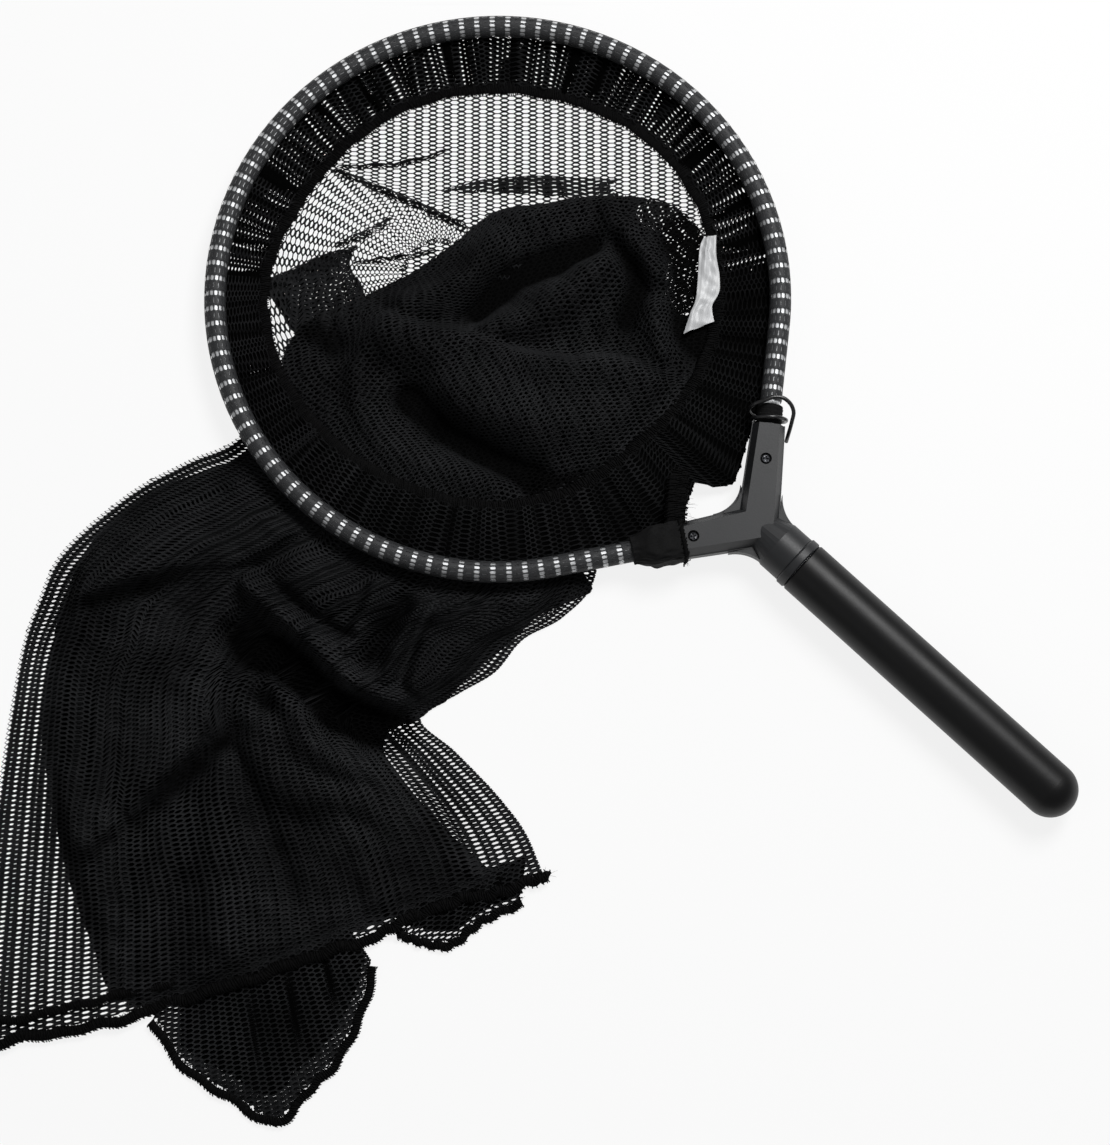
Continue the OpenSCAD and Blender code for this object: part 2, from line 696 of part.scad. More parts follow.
// Sections of a round cord along a list of points
function cord_sections(path, d, sides) = [for (i = [0:len(path) - 1]) let (
        ahead = path[min(i + 1, len(path) - 1)],
        back = path[max(i - 1, 0)],
        w = (ahead - back) / norm(ahead - back),
        flat = cross(w, [0, 0, 1]),
        side = norm(flat) > 0.05 ? flat / norm(flat) : [1, 0, 0],
        lift = cross(side, w)
    ) [for (j = [0:sides - 1]) let (a = 360 * (j + 0.5) / sides)
        path[i] + d / 2 * (cos(a) * side + sin(a) * lift)]];

// Outward direction of the tail's end, square to its hem
function end_normal(u) = let (t = curve_at(tail_end, u + 0.02) - curve_at(tail_end, u - 0.02))
    [t.y, -t.x] / norm(t);

flap_t = 1.4;
hem_z = flap_t + soft_gap + hem_d / 2;

module sock_hem() {
    steps = 40;
    path = [for (i = [0:steps]) let (
            u = 0.01 + 0.98 * i / steps,
            p = curve_at(tail_end, u) + end_normal(u) * (hem_d / 2 + 2 * soft_gap)
        ) [p.x, p.y, hem_z]];
    color("#101113") tube_solid(cord_sections(path, hem_d, 6));
}

// Plan of a flap of the lower layer between two shares of the tail's end
module flap_plan(pts, from, to) {
    steps = 14;
    inner = [for (i = [0:steps]) let (u = lerp(to, from, i / steps))
        curve_at(tail_end, u) + end_normal(u) * 2 * soft_gap];
    outer = [for (p = pts) from_rim(p)];
    polygon(concat(inner, [for (i = [0:2 * steps]) curve_at(outer, i / steps / 2)]));
}

module lower_flap() {
    color(net_black) linear_extrude(height = flap_t) {
        flap_plan(flap_pts, 0.225, 0.47);
        flap_plan(small_flap_pts, 0.56, 0.94);
    }
}

// Hem of the lower layer, sewn round the free edge of both flaps
module flap_hem() {
    steps = 28;
    d = hem_d - 1;
    color("#101113") for (pts = [flap_pts, small_flap_pts]) {
        edge = [for (p = pts) from_rim(p)];
        path = [for (i = [1:steps - 1]) let (
                s = i / steps,
                p = curve_at(edge, s),
                t = curve_at(edge, s + 0.02) - curve_at(edge, s - 0.02),
                out = p + [t.y, -t.x] / norm(t) * (d / 2 + 2 * soft_gap)
            ) [out.x, out.y, d / 2]];
        tube_solid(cord_sections(path, d, 6));
    }
}

// Folded satin strip, sewn to the seam on the handle's side of the mouth
module care_label() {
    sewn_angle = 46;
    tilt = -6;
    color(satin_white) rotate([0, 0, sewn_angle]) translate([seam_mid_r - 10, 0, seam_h + soft_gap])
        rotate([0, 0, tilt]) {
            translate([-label_w / 2, -label_l / 2, 0]) cube([label_w, label_l, label_t]);
            translate([-label_w / 2, -label_l / 2, label_t]) cube([label_w * 0.55, label_l, label_t]);
        }
}

// Route of the tie cord on the upper arm: [along the arm, outward, up from the hoop's plane]
cord_route = [
    [69, -4, -11.2], [69, -10.6, -4], [69, -10.2, 4], [69, -6, 9.2], [69.5, 0, 11],
    [70, 6, 9.2], [70.5, 10.6, 3], [71, 10, -5], [72, 4, -10.6], [73, -4, -11.2],
    [73.5, -11, -5], [75, -13.4, 2.5], [77, -10.5, 8.6], [79.5, -5, 10.8], [82.4, 1, 11.2],
    [82.6, 7, 10.6], [79.6, 12, 9.4], [75, 14.6, 7.6], [70, 14.4, 5], [65.2, 13.8, 1.5],
    [61.2, 13.2, -3], [59, 13, -7.5]
];

module tie_cord() {
    steps = 66;
    path = [for (i = [0:steps]) let (p = curve_at(cord_route, i / steps)) [p.x, -p.y, p.z]];
    color("#141517") at_arm(1) tube_solid(cord_sections(path, cord_d, 8));
}

hoop_tube();
yoke_upper_shell();
yoke_lower_shell();
yoke_screws();
collar_ring();
handle_core();
handle_grip();
rim_sleeve();
sleeve_binding();
sleeve_cuff();
header_band();
header_seam();
mouth_net();
sock_bunch();
sock_tail();
sock_hem();
lower_flap();
flap_hem();
care_label();
tie_cord();
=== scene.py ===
import math

import bmesh
import bpy
import numpy as np
from mathutils import Matrix, Vector


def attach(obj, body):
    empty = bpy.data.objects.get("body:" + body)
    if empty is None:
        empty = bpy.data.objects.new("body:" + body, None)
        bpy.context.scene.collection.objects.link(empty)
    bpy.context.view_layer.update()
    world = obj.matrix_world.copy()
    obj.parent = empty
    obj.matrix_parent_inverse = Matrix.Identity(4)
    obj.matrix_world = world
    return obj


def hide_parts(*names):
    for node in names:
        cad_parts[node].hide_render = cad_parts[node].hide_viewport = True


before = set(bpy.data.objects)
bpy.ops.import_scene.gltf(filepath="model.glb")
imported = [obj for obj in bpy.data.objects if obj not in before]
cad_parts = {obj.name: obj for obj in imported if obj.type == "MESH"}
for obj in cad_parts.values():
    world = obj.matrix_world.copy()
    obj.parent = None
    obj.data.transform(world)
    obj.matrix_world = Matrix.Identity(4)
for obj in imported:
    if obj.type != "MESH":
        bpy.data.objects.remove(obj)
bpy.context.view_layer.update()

MM = 0.001


# Hoop: one length of drawn aluminium tube, bent round with two straight ends that run into the yoke.
# The net sleeve covers it, and its bare satin metal shows bright through the open stitches.
def linear(hex_colour):
    """Linear colour of an sRGB hex value."""
    parts = [int(hex_colour[i:i + 2], 16) / 255 for i in (1, 3, 5)]
    return (*[c / 12.92 if c <= 0.04045 else ((c + 0.055) / 1.055) ** 2.4 for c in parts], 1.0)


def add(tree, kind, inputs=(), **settings):
    """Adds a node with its settings, and sets or links its inputs."""
    made = tree.nodes.new(kind)
    for name, value in settings.items():
        setattr(made, name, value)
    for name, value in dict(inputs).items():
        if isinstance(value, bpy.types.NodeSocket):
            tree.links.new(value, made.inputs[name])
        else:
            made.inputs[name].default_value = value
    return made


def start_material(name, **constants):
    """A material with its shader's constants set, and the place on the piece that its patterns read."""
    made = bpy.data.materials.new(name)
    made.use_nodes = True
    made.node_tree.nodes.clear()
    sockets = {label.replace("_", " "): value for label, value in constants.items()}
    shader = add(made.node_tree, "ShaderNodeBsdfPrincipled", sockets)
    add(made.node_tree, "ShaderNodeOutputMaterial", {"Surface": shader.outputs["BSDF"]})
    place = add(made.node_tree, "ShaderNodeTexCoord")
    return made, made.node_tree, shader, place.outputs["Object"]


def dress(node, finish):
    """Gives a rigid piece its finish."""
    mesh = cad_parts[node].data
    mesh.materials.clear()
    mesh.materials.append(finish)


# Drawn aluminium: pale satin metal, with a fine mottle that breaks its reflections
aluminium, tree, shader, place = start_material("drawn_aluminium", Metallic=1.0)
mottle = add(tree, "ShaderNodeTexNoise", {"Vector": place, "Scale": 1 / (1.2 * MM), "Detail": 3.0})
rough = add(tree, "ShaderNodeMapRange", {"Value": mottle.outputs["Fac"], "To Min": 0.55, "To Max": 0.75})
tint = add(tree, "ShaderNodeMix", {
    "Factor": mottle.outputs["Fac"], 6: linear("#dcdee0"), 7: linear("#f2f3f4")}, data_type="RGBA")
tree.links.new(tint.outputs[2], shader.inputs["Base Color"])
tree.links.new(rough.outputs[0], shader.inputs["Roughness"])
dress("hoop_tube", aluminium)
dress("handle_core", aluminium)


# Yoke and collar: two moulded shells screwed together round the hoop's ends and the handle's core,
# and a ring that closes them on the neck. Glass-filled nylon with a fine spark-eroded grain.
nylon, tree, shader, place = start_material("glass_filled_nylon", IOR=1.53, Specular_IOR_Level=0.4)
grain = add(tree, "ShaderNodeTexNoise", {"Vector": place, "Scale": 1 / (0.9 * MM), "Detail": 4.0})
cloud = add(tree, "ShaderNodeTexNoise", {"Vector": place, "Scale": 1 / (18 * MM), "Detail": 3.0})
tint = add(tree, "ShaderNodeMix", {
    "Factor": cloud.outputs["Fac"], 6: linear("#1c1d1f"), 7: linear("#252628")}, data_type="RGBA")
rough = add(tree, "ShaderNodeMapRange", {"Value": grain.outputs["Fac"], "To Min": 0.38, "To Max": 0.56})
bump = add(tree, "ShaderNodeBump", {"Height": grain.outputs["Fac"], "Strength": 0.35, "Distance": 0.1 * MM})
tree.links.new(tint.outputs[2], shader.inputs["Base Color"])
tree.links.new(rough.outputs[0], shader.inputs["Roughness"])
tree.links.new(bump.outputs["Normal"], shader.inputs["Normal"])
for node in ("yoke_upper_shell", "yoke_lower_shell", "collar_ring"):
    dress(node, nylon)


# Screws: two black pan-head steel screws in the counterbores, through both shells and the hoop's ends.
# Black oxide leaves a thin dark film, with steel showing through it in worn specks.
oxide, tree, shader, place = start_material("black_oxide_steel", Metallic=0.85, Roughness=0.38)
wear = add(tree, "ShaderNodeTexNoise", {"Vector": place, "Scale": 1 / (1.4 * MM), "Detail": 3.0})
film = add(tree, "ShaderNodeMapRange", {"Value": wear.outputs["Fac"], "From Min": 0.5, "From Max": 0.75})
tint = add(tree, "ShaderNodeMix", {
    "Factor": film.outputs[0], 6: linear("#26272a"), 7: linear("#8c8d90")}, data_type="RGBA")
tree.links.new(tint.outputs[2], shader.inputs["Base Color"])
dress("yoke_screws", oxide)


# Grip: a round-ended sleeve of dipped vinyl over the core tube. The dip sets with a soft gloss
# and a slight orange peel, and hands leave the gloss uneven.
vinyl, tree, shader, place = start_material("dipped_vinyl", IOR=1.5, Specular_IOR_Level=0.3)
peel = add(tree, "ShaderNodeTexNoise", {"Vector": place, "Scale": 1 / (5 * MM), "Detail": 2.0})
smear = add(tree, "ShaderNodeTexNoise", {"Vector": place, "Scale": 1 / (30 * MM), "Detail": 4.0})
rough = add(tree, "ShaderNodeMapRange", {"Value": smear.outputs["Fac"], "To Min": 0.36, "To Max": 0.48})
bump = add(tree, "ShaderNodeBump", {"Height": peel.outputs["Fac"], "Strength": 0.12, "Distance": 0.4 * MM})
tint = add(tree, "ShaderNodeMix", {
    "Factor": smear.outputs["Fac"], 6: linear("#060607"), 7: linear("#0a0a0b")}, data_type="RGBA")
tree.links.new(tint.outputs[2], shader.inputs["Base Color"])
tree.links.new(rough.outputs[0], shader.inputs["Roughness"])
tree.links.new(bump.outputs["Normal"], shader.inputs["Normal"])
dress("handle_grip", vinyl)


# Rim sleeve: a tube of the same knitted net as the sock, pulled over the hoop with its open columns
# across the tube. Warp-knitted polyester, with one wide column of stitches beside each close one.
repeat_w = 9.6 * MM
row_h = 3.0 * MM


def pattern_object(name, mesh):
    """A mesh as an object that node trees repeat, outside the scene."""
    made = bpy.data.objects.new(name, bpy.data.meshes.new(name))
    mesh.to_mesh(made.data)
    mesh.free()
    return made


def shown(name, data):
    """An object in the scene."""
    made = bpy.data.objects.new(name, data)
    bpy.context.scene.collection.objects.link(made)
    return made


def stitch_cell(name, half_yarns, crown, wide=1.55 * MM, close=1.35 * MM, gather=0.0):
    """One repeat of the net: a wide stitch and a close one half a row up, each a six-sided ring of yarn.
    gather pulls the sides of the rings together."""
    tip_pull, side_pull = 1.45, 0.5
    centres = [(0, 0, wide, repeat_w / 2 - close), (repeat_w / 2, row_h / 2, close, repeat_w / 2 - wide)]
    mesh = bmesh.new()
    for (x, y, flat_half, tip), half in zip(centres, half_yarns):
        corners = [(tip, 0), (flat_half, 1), (-flat_half, 1), (-tip, 0), (-flat_half, -1), (flat_half, -1)]
        outer, inner = [], []
        for px, side in corners:
            pull = half * (tip_pull if side == 0 else side_pull) + gather
            inner_x = x + px - math.copysign(pull, px)
            outer.append(mesh.verts.new((x + px, y + side * row_h / 2, crown)))
            inner.append(mesh.verts.new((inner_x, y + side * (row_h / 2 - half), 0)))
        for i in range(6):
            mesh.faces.new((outer[i], outer[(i + 1) % 6], inner[(i + 1) % 6], inner[i]))
    return pattern_object(name, mesh)


def group_tree(name, inputs):
    """Empty node tree with a geometry in and out and the named inputs."""
    made = bpy.data.node_groups.new(name, "GeometryNodeTree")
    made.interface.new_socket("Geometry", in_out="INPUT", socket_type="NodeSocketGeometry")
    for label, kind in inputs.items():
        made.interface.new_socket(label, in_out="INPUT", socket_type="NodeSocket" + kind)
    made.interface.new_socket("Geometry", in_out="OUTPUT", socket_type="NodeSocketGeometry")
    return made, add(made, "NodeGroupInput").outputs


def net_tree():
    """Lays rows of stitches out flat, then carries each point to where the cloth lies."""
    tree, given = group_tree("knitted_net", {
        "Stitch": "Object", "Columns": "Int", "Rows": "Int", "Width": "Float", "Height": "Float",
        "Middle": "Vector", "Unevenness": "Float", "Seed": "Float", "Yarn": "Material"})
    grid = add(tree, "GeometryNodeMeshGrid", {
        "Size X": given["Width"], "Size Y": given["Height"],
        "Vertices X": given["Columns"], "Vertices Y": given["Rows"]})
    stitch = add(tree, "GeometryNodeObjectInfo", {"Object": given["Stitch"]})
    spread = add(tree, "GeometryNodeInstanceOnPoints", {
        "Points": grid.outputs["Mesh"], "Instance": stitch.outputs["Geometry"]})
    real = add(tree, "GeometryNodeRealizeInstances", {"Geometry": spread.outputs["Instances"]})
    joined = add(tree, "GeometryNodeMergeByDistance", {
        "Geometry": real.outputs["Geometry"], "Distance": 0.04 * MM})
    here = add(tree, "GeometryNodeInputPosition")
    on_cloth = add(tree, "ShaderNodeVectorMath", {0: here.outputs[0], 1: given["Middle"]}, operation="ADD")
    pull = add(tree, "ShaderNodeTexNoise", {
        "Vector": on_cloth.outputs[0], "W": given["Seed"], "Scale": 1 / (14 * MM), "Detail": 3.0,
        "Roughness": 0.7}, noise_dimensions="4D")
    centred = add(tree, "ShaderNodeVectorMath", {
        0: pull.outputs["Color"], 1: (0.5, 0.5, 0.5)}, operation="SUBTRACT")
    uneven = add(tree, "ShaderNodeVectorMath", {
        0: centred.outputs[0], "Scale": given["Unevenness"]}, operation="SCALE")
    sample_at = add(tree, "ShaderNodeVectorMath", {
        0: on_cloth.outputs[0], 1: uneven.outputs[0]}, operation="ADD")
    flat = add(tree, "GeometryNodeInputNamedAttribute", {"Name": "flat"}, data_type="FLOAT_VECTOR")
    crown = add(tree, "GeometryNodeInputNamedAttribute", {"Name": "crown"}, data_type="FLOAT")
    read = (
        (add(tree, "GeometryNodeInputPosition").outputs[0], "FLOAT_VECTOR"),
        (add(tree, "GeometryNodeInputNormal").outputs[0], "FLOAT_VECTOR"),
        (crown.outputs["Attribute"], "FLOAT"))
    spot, normal, crown_here = [
        add(tree, "GeometryNodeSampleUVSurface", {
            "Mesh": given["Geometry"], "Value": value, "UV Map": flat.outputs["Attribute"],
            "Sample UV": sample_at.outputs[0]}, data_type=kind)
        for value, kind in read]
    rise = add(tree, "ShaderNodeSeparateXYZ", {0: here.outputs[0]})
    lift = add(tree, "ShaderNodeVectorMath", {
        0: normal.outputs[0], "Scale": rise.outputs["Z"]}, operation="SCALE")
    target = add(tree, "ShaderNodeVectorMath", {0: spot.outputs[0], 1: lift.outputs[0]}, operation="ADD")
    # Points off the cloth are marked before the move, because they have no place to go to, and cut after it
    beyond = add(tree, "FunctionNodeBooleanMath", {0: spot.outputs["Is Valid"]}, operation="NOT")
    marked = add(tree, "GeometryNodeStoreNamedAttribute", {
        "Geometry": joined.outputs["Geometry"], "Name": "off_cloth", "Value": beyond.outputs[0]},
        data_type="BOOLEAN", domain="POINT")
    crowned = add(tree, "GeometryNodeStoreNamedAttribute", {
        "Geometry": marked.outputs["Geometry"], "Name": "crown", "Value": crown_here.outputs[0]},
        data_type="FLOAT", domain="POINT")
    laid = add(tree, "GeometryNodeSetPosition", {
        "Geometry": crowned.outputs["Geometry"], "Position": target.outputs[0]})
    off = add(tree, "GeometryNodeInputNamedAttribute", {"Name": "off_cloth"}, data_type="BOOLEAN")
    cut = add(tree, "GeometryNodeDeleteGeometry", {
        "Geometry": laid.outputs["Geometry"], "Selection": off.outputs["Attribute"]}, domain="POINT")
    smooth = add(tree, "GeometryNodeSetShadeSmooth", {"Geometry": cut.outputs["Geometry"]})
    final = add(tree, "GeometryNodeSetMaterial", {
        "Geometry": smooth.outputs["Geometry"], "Material": given["Yarn"]})
    add(tree, "NodeGroupOutput", {"Geometry": final.outputs["Geometry"]})
    return tree


def run_tree(piece, tree, values):
    """Runs a node tree on a piece with the given inputs, and leaves the result as its plain mesh."""
    step = piece.modifiers.new(tree.name, "NODES")
    step.node_group = tree
    for item in tree.interface.items_tree:
        if item.item_type == "SOCKET" and item.in_out == "INPUT" and item.name in values:
            step[item.identifier] = values[item.name]
    ready = piece.evaluated_get(bpy.context.evaluated_depsgraph_get())
    made = bpy.data.meshes.new_from_object(ready)
    piece.modifiers.clear()
    old, piece.data = piece.data, made
    bpy.data.meshes.remove(old)
    made.name = piece.name


def cloth(name, places, flat, keep=None, crown=None):
    """A sheet as a mesh of rows and columns, that keeps each point's flat place and how far out of the folds
    it stands, from 0 to 1, which sets the painted shade and light of the yarn. keep masks its faces."""
    rows, columns = places.shape[:2]
    index = np.arange(rows * columns).reshape(rows, columns)
    quads = np.stack([index[:-1, :-1], index[:-1, 1:], index[1:, 1:], index[1:, :-1]], axis=-1)
    if keep is not None:
        quads = quads[keep[:-1, :-1] & keep[:-1, 1:] & keep[1:, 1:] & keep[1:, :-1]]
    mesh = bpy.data.meshes.new(name)
    mesh.from_pydata(places.reshape(-1, 3).tolist(), [], quads.reshape(-1, 4).tolist())
    mark = mesh.attributes.new("flat", "FLOAT_VECTOR", "POINT")
    padded = np.concatenate([flat.reshape(-1, 2), np.zeros((rows * columns, 1))], axis=1)
    mark.data.foreach_set("vector", padded.astype(np.float32).ravel())
    crown = np.ones(rows * columns) if crown is None else crown
    mesh.attributes.new("crown", "FLOAT", "POINT").data.foreach_set("value", crown.astype(np.float32).ravel())
    return shown(name, mesh)


knitting = net_tree()
open_stitch = stitch_cell("open_stitch", (0.46 * MM, 0.62 * MM), 0.5 * MM)
half_stitch = stitch_cell("half_stitch", (0.95 * MM, 1.05 * MM), 0.4 * MM)
dense_stitch = stitch_cell("dense_stitch", (1.2 * MM, 1.3 * MM), 0.3 * MM)
close_stitch = stitch_cell("close_stitch", (1.49 * MM, 1.49 * MM), 0.3 * MM)
rim_stitch = stitch_cell("rim_stitch", (0.4 * MM, 1.3 * MM), 0.2 * MM, 1.5 * MM, 2.4 * MM)


def knitted(name, places, flat, keep=None, stitch=open_stitch, uneven=0.9 * MM, seed=0.0,
            yarn=None, crown=None):
    """A piece of net: the stitches of the flat cloth, carried to the places where the cloth lies."""
    piece = cloth(name, places, flat, keep, crown)
    used = flat.reshape(-1, 2) if keep is None else flat[keep]
    low, high = used.min(axis=0), used.max(axis=0)
    spare = 2
    columns, rows = (math.ceil(side / step) + spare for side, step in zip(high - low, (repeat_w, row_h)))
    middle = (low + high) / 2
    run_tree(piece, knitting, {
        "Stitch": stitch, "Columns": columns, "Rows": rows, "Width": (columns - 1) * repeat_w,
        "Height": (rows - 1) * row_h, "Middle": (middle[0], middle[1], 0.0), "Unevenness": uneven,
        "Seed": seed, "Yarn": yarn or polyester})
    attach(piece, "root")
    return piece


# Knitted polyester: matt black filament yarn, with painted shade and light by the crown attribute: darker in
# the hollows of the folds, paler on their crowns
polyester, tree, shader, place = start_material(
    "knitted_polyester", Roughness=0.7, Specular_IOR_Level=0.03, IOR=1.5)
fibre = add(tree, "ShaderNodeTexNoise", {"Vector": place, "Scale": 1 / (0.7 * MM), "Detail": 2.0})
fade = add(tree, "ShaderNodeTexNoise", {"Vector": place, "Scale": 1 / (45 * MM), "Detail": 2.0})
painted_light_level = add(tree, "ShaderNodeAttribute", attribute_name="crown")
mixed = add(tree, "ShaderNodeMath", {0: fibre.outputs["Fac"], 1: fade.outputs["Fac"]}, operation="MULTIPLY")
painted_fold_shade = add(tree, "ShaderNodeMath", {0: mixed.outputs[0], 1: painted_light_level.outputs["Fac"]}, operation="MULTIPLY")
tint = add(tree, "ShaderNodeMix", {
    "Factor": painted_fold_shade.outputs[0], 6: linear("#020202"), 7: linear("#404143")}, data_type="RGBA")
tree.links.new(tint.outputs[2], shader.inputs["Base Color"])
# The same yarn stretched over the hoop, painted paler to stand for the light that the metal under it throws
# on its filaments
stretched_polyester, tree, shader, place = start_material(
    "stretched_polyester", Roughness=0.55, Specular_IOR_Level=0.25, IOR=1.5)
fibre = add(tree, "ShaderNodeTexNoise", {"Vector": place, "Scale": 1 / (0.9 * MM), "Detail": 3.0})
tint = add(tree, "ShaderNodeMix", {
    "Factor": fibre.outputs["Fac"], 6: linear("#111112"), 7: linear("#434446")}, data_type="RGBA")
tree.links.new(tint.outputs[2], shader.inputs["Base Color"])
# The same yarn painted nearly black, as painted shade for a pile of layers that holds the light back between
# them
shaded_polyester, tree, shader, place = start_material(
    "piled_polyester", Roughness=0.9, Specular_IOR_Level=0.0)
fibre = add(tree, "ShaderNodeTexNoise", {"Vector": place, "Scale": 1 / (0.7 * MM), "Detail": 2.0})
tint = add(tree, "ShaderNodeMix", {
    "Factor": fibre.outputs["Fac"], 6: linear("#020202"), 7: linear("#080808")}, data_type="RGBA")
tree.links.new(tint.outputs[2], shader.inputs["Base Color"])

hoop_r = 182 * MM
hoop_z = 17.5 * MM
leave_angle = math.radians(36)
arm_origin = np.array([hoop_r / math.cos(leave_angle), 0.0, hoop_z])
straight_l = hoop_r * math.tan(leave_angle)
sleeve_r = 6.75 * MM
# Where the sleeve ends on the two arms, from where the arms cross
sleeve_ends = (80 * MM, 78.4 * MM)


def arm_way(side):
    """Unit vector out along an arm from where the two arms cross, and the one out from the hoop."""
    turn = side * (math.pi / 2 + leave_angle)
    along = np.array([math.cos(turn), math.sin(turn), 0.0])
    return along, np.array([along[1], -along[0], 0.0]) * side


def hoop_line(lengths):
    """Points and outward directions along the tube's middle, from the upper arm round to the other one."""
    first = straight_l - sleeve_ends[0]
    arc = hoop_r * (2 * math.pi - 2 * leave_angle)
    points, outward = [], []
    for s in lengths:
        if s < first or s > first + arc:
            side = 1 if s < first else -1
            along, out = arm_way(side)
            reach = sleeve_ends[0] + s if side > 0 else straight_l - (s - first - arc)
            points.append(arm_origin + along * reach)
            outward.append(out)
        else:
            a = leave_angle + (s - first) / hoop_r
            outward.append(np.array([math.cos(a), math.sin(a), 0.0]))
            points.append(outward[-1] * hoop_r + np.array([0, 0, hoop_z]))
    return np.array(points), np.array(outward)


sleeve_l = 2 * straight_l - sum(sleeve_ends) + hoop_r * (2 * math.pi - 2 * leave_angle)
along = np.linspace(0, sleeve_l, 420)
around = np.linspace(0, 2 * math.pi, 25)
middle, out = hoop_line(along)
up = np.array([0.0, 0.0, 1.0])
ring = (np.cos(around)[:, None, None] * out[None] + np.sin(around)[:, None, None] * up) * sleeve_r
stretched_repeat = 10.1 * MM
stretch = stretched_repeat / repeat_w
sleeve_flat = np.stack(np.meshgrid(along / stretch, around * sleeve_r), axis=-1)
sleeve = knitted("net_sleeve", middle[None] + ring, sleeve_flat,
                 stitch=rim_stitch, uneven=0.5 * MM, seed=1.0, yarn=stretched_polyester)
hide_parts("rim_sleeve")


# Header: a double band of the net, gathered between the sleeve and the seam, so that light comes through only
# where the open columns of both layers meet. Sewn to the sleeve all round and hanging to the seam, with its
# slack piled in bundles between the layers, and raised on the bunched net at the near side.
header_out_z = 11.0 * MM
seam_r = 142.1 * MM
seam_w, seam_h = 9.0 * MM, 3.6 * MM
seam_low, seam_climb, seam_raise = 1.9, 9.3, 3.0 * MM
sock_angle = math.radians(-70)
# Directions of the middle of the side that light comes through, and of the side that lies on the bunch
open_middle = math.radians(136)
raised_middle = math.radians(-40)
header_cloth_l, header_cloth_w = 1.12, 35 * MM
# Directions between which the band runs, in degrees; its ends lap a little
header_from, header_to = -100, 263
pleat_depth = 0.75 * MM
corner_sag = 4 * MM
lowest_z = 0.7 * MM


def ease(x):
    """Smooth step from 0 to 1."""
    t = np.clip(x, 0, 1)
    return t * t * (3 - 2 * t)


def seam_height(a):
    """The seam lies on the floor at the far side and over the sock's tail at the near side."""
    return (seam_low + seam_climb * ease((np.cos(a - sock_angle) + 0.15) / 0.5)) * MM


# How far the seam strays from its circle, in mm by degrees. It is evened out over 17 degrees.
seam_stray = [
    (-180, 4), (-158, 6), (-139, 11), (-120, 8), (-104, 4), (-88, 0), (-70, -3), (-54, -3), (-38, -3),
    (-24, -5), (-10, -8), (0, -8), (10, -5), (24, -2), (40, 1), (64, 5), (76, 7), (92, 7), (111, 4),
    (130, 3), (156, 5), (180, 4)]
stray_steps = np.interp(np.arange(-180, 180), *zip(*seam_stray))
stray_steps = np.mean([np.roll(stray_steps, k) for k in range(-8, 9)], axis=0)


def seam_reach(a):
    """Radius at which the seam lies."""
    once_round = np.append(stray_steps, stray_steps[0])
    return seam_r + np.interp((np.degrees(a) + 180) % 360, np.arange(361), once_round) * MM


def raised_by(a):
    """How much higher seam and band lie where the bunched net is under them."""
    return seam_raise * ease((np.cos(a - raised_middle) - 0.2) / 0.3)


# The outer edge, in mm by degrees: it follows the straight ends of the hoop, and bulges out between the arms
header_edge = [
    (-36, 179), (-25, 181), (-18, 184), (-14, 186), (-10, 187), (-7.5, 187), (-4, 181), (-1.5, 177), (1, 189),
    (3.5, 196), (7, 193), (12, 187.5), (17, 185.5), (20, 185), (24, 183), (28, 181), (36, 179)]


def header_reach(a):
    """Radius of the band's outer edge."""
    away = (np.degrees(a) + 180) % 360 - 180
    return np.interp(away, *zip(*header_edge)) * MM


def header_layer(name, lift, pleat_counts, stitch, yarn, seed, piled=False):
    """One layer of the band. A piled one is there only where the slack lies in bundles,
    which is on all of the near side."""
    chance = np.random.default_rng(int(seed * 10))
    turn = np.radians(np.linspace(header_from, header_to, 1500))
    down = np.linspace(0, 1, 18)[:, None]
    far_side = ease((np.cos(turn - open_middle) + 0.1) / 0.3)
    pleats = sum(np.sin(n * turn + chance.uniform(0, 6.28)) for n in pleat_counts)
    depth = pleats * pleat_depth * (0.3 + 0.7 * far_side)
    inner_r = seam_reach(turn) + 0.8 * MM
    radius = header_reach(turn)[None] * (1 - down) + inner_r[None] * down
    rise = ease(down * 1.15)
    sag = corner_sag * ease((header_reach(turn) / MM - 180) / 12)
    inner_z = seam_height(turn) + 0.6 * MM + raised_by(turn)
    height = (header_out_z - sag)[None] * (1 - rise) + inner_z[None] * rise
    height = np.maximum(height + depth[None] * (0.8 + 0.2 * down) + lift, lowest_z + lift / 2)
    places = np.stack([radius * np.cos(turn), radius * np.sin(turn), height], axis=-1)
    length = (turn - turn[0]) / (turn[-1] - turn[0]) * header_cloth_l
    stray = [
        sum(np.sin(chance.integers(9, 60) * turn + chance.uniform(0, 6.28)) for _ in range(4))
        for _ in range(2)]
    length = length[None] + (0.9 * stray[0][None] + 1.5 * (down - 0.5) * stray[1][None]) * MM
    cloth_w = header_cloth_w if piled else np.maximum(header_cloth_w, header_reach(turn) - inner_r)
    flat = np.stack([length, cloth_w * down + 0 * length], axis=-1)
    bundles = sum(
        np.sin(chance.integers(12, 70) * turn[None] + chance.uniform(0, 6.28) + chance.uniform(-4, 4) * down)
        for _ in range(7))
    keep = bundles + 1.6 * (0.5 - down) > 6.3 * far_side[None] - 5.8 if piled else None
    # Painted light: the band's yarn is paler on the far side, on the side towards the sock, and on the crests
    # of the pleats
    painted_light_level = 0.28 + 0.3 * far_side + 0.24 * ease(np.cos(turn - sock_angle))
    crown = painted_light_level[None] + 0.2 * np.tanh(pleats)[None] + 0 * down
    return knitted(name, places, flat, keep, stitch,
                   1.2 * MM, seed, yarn, crown)


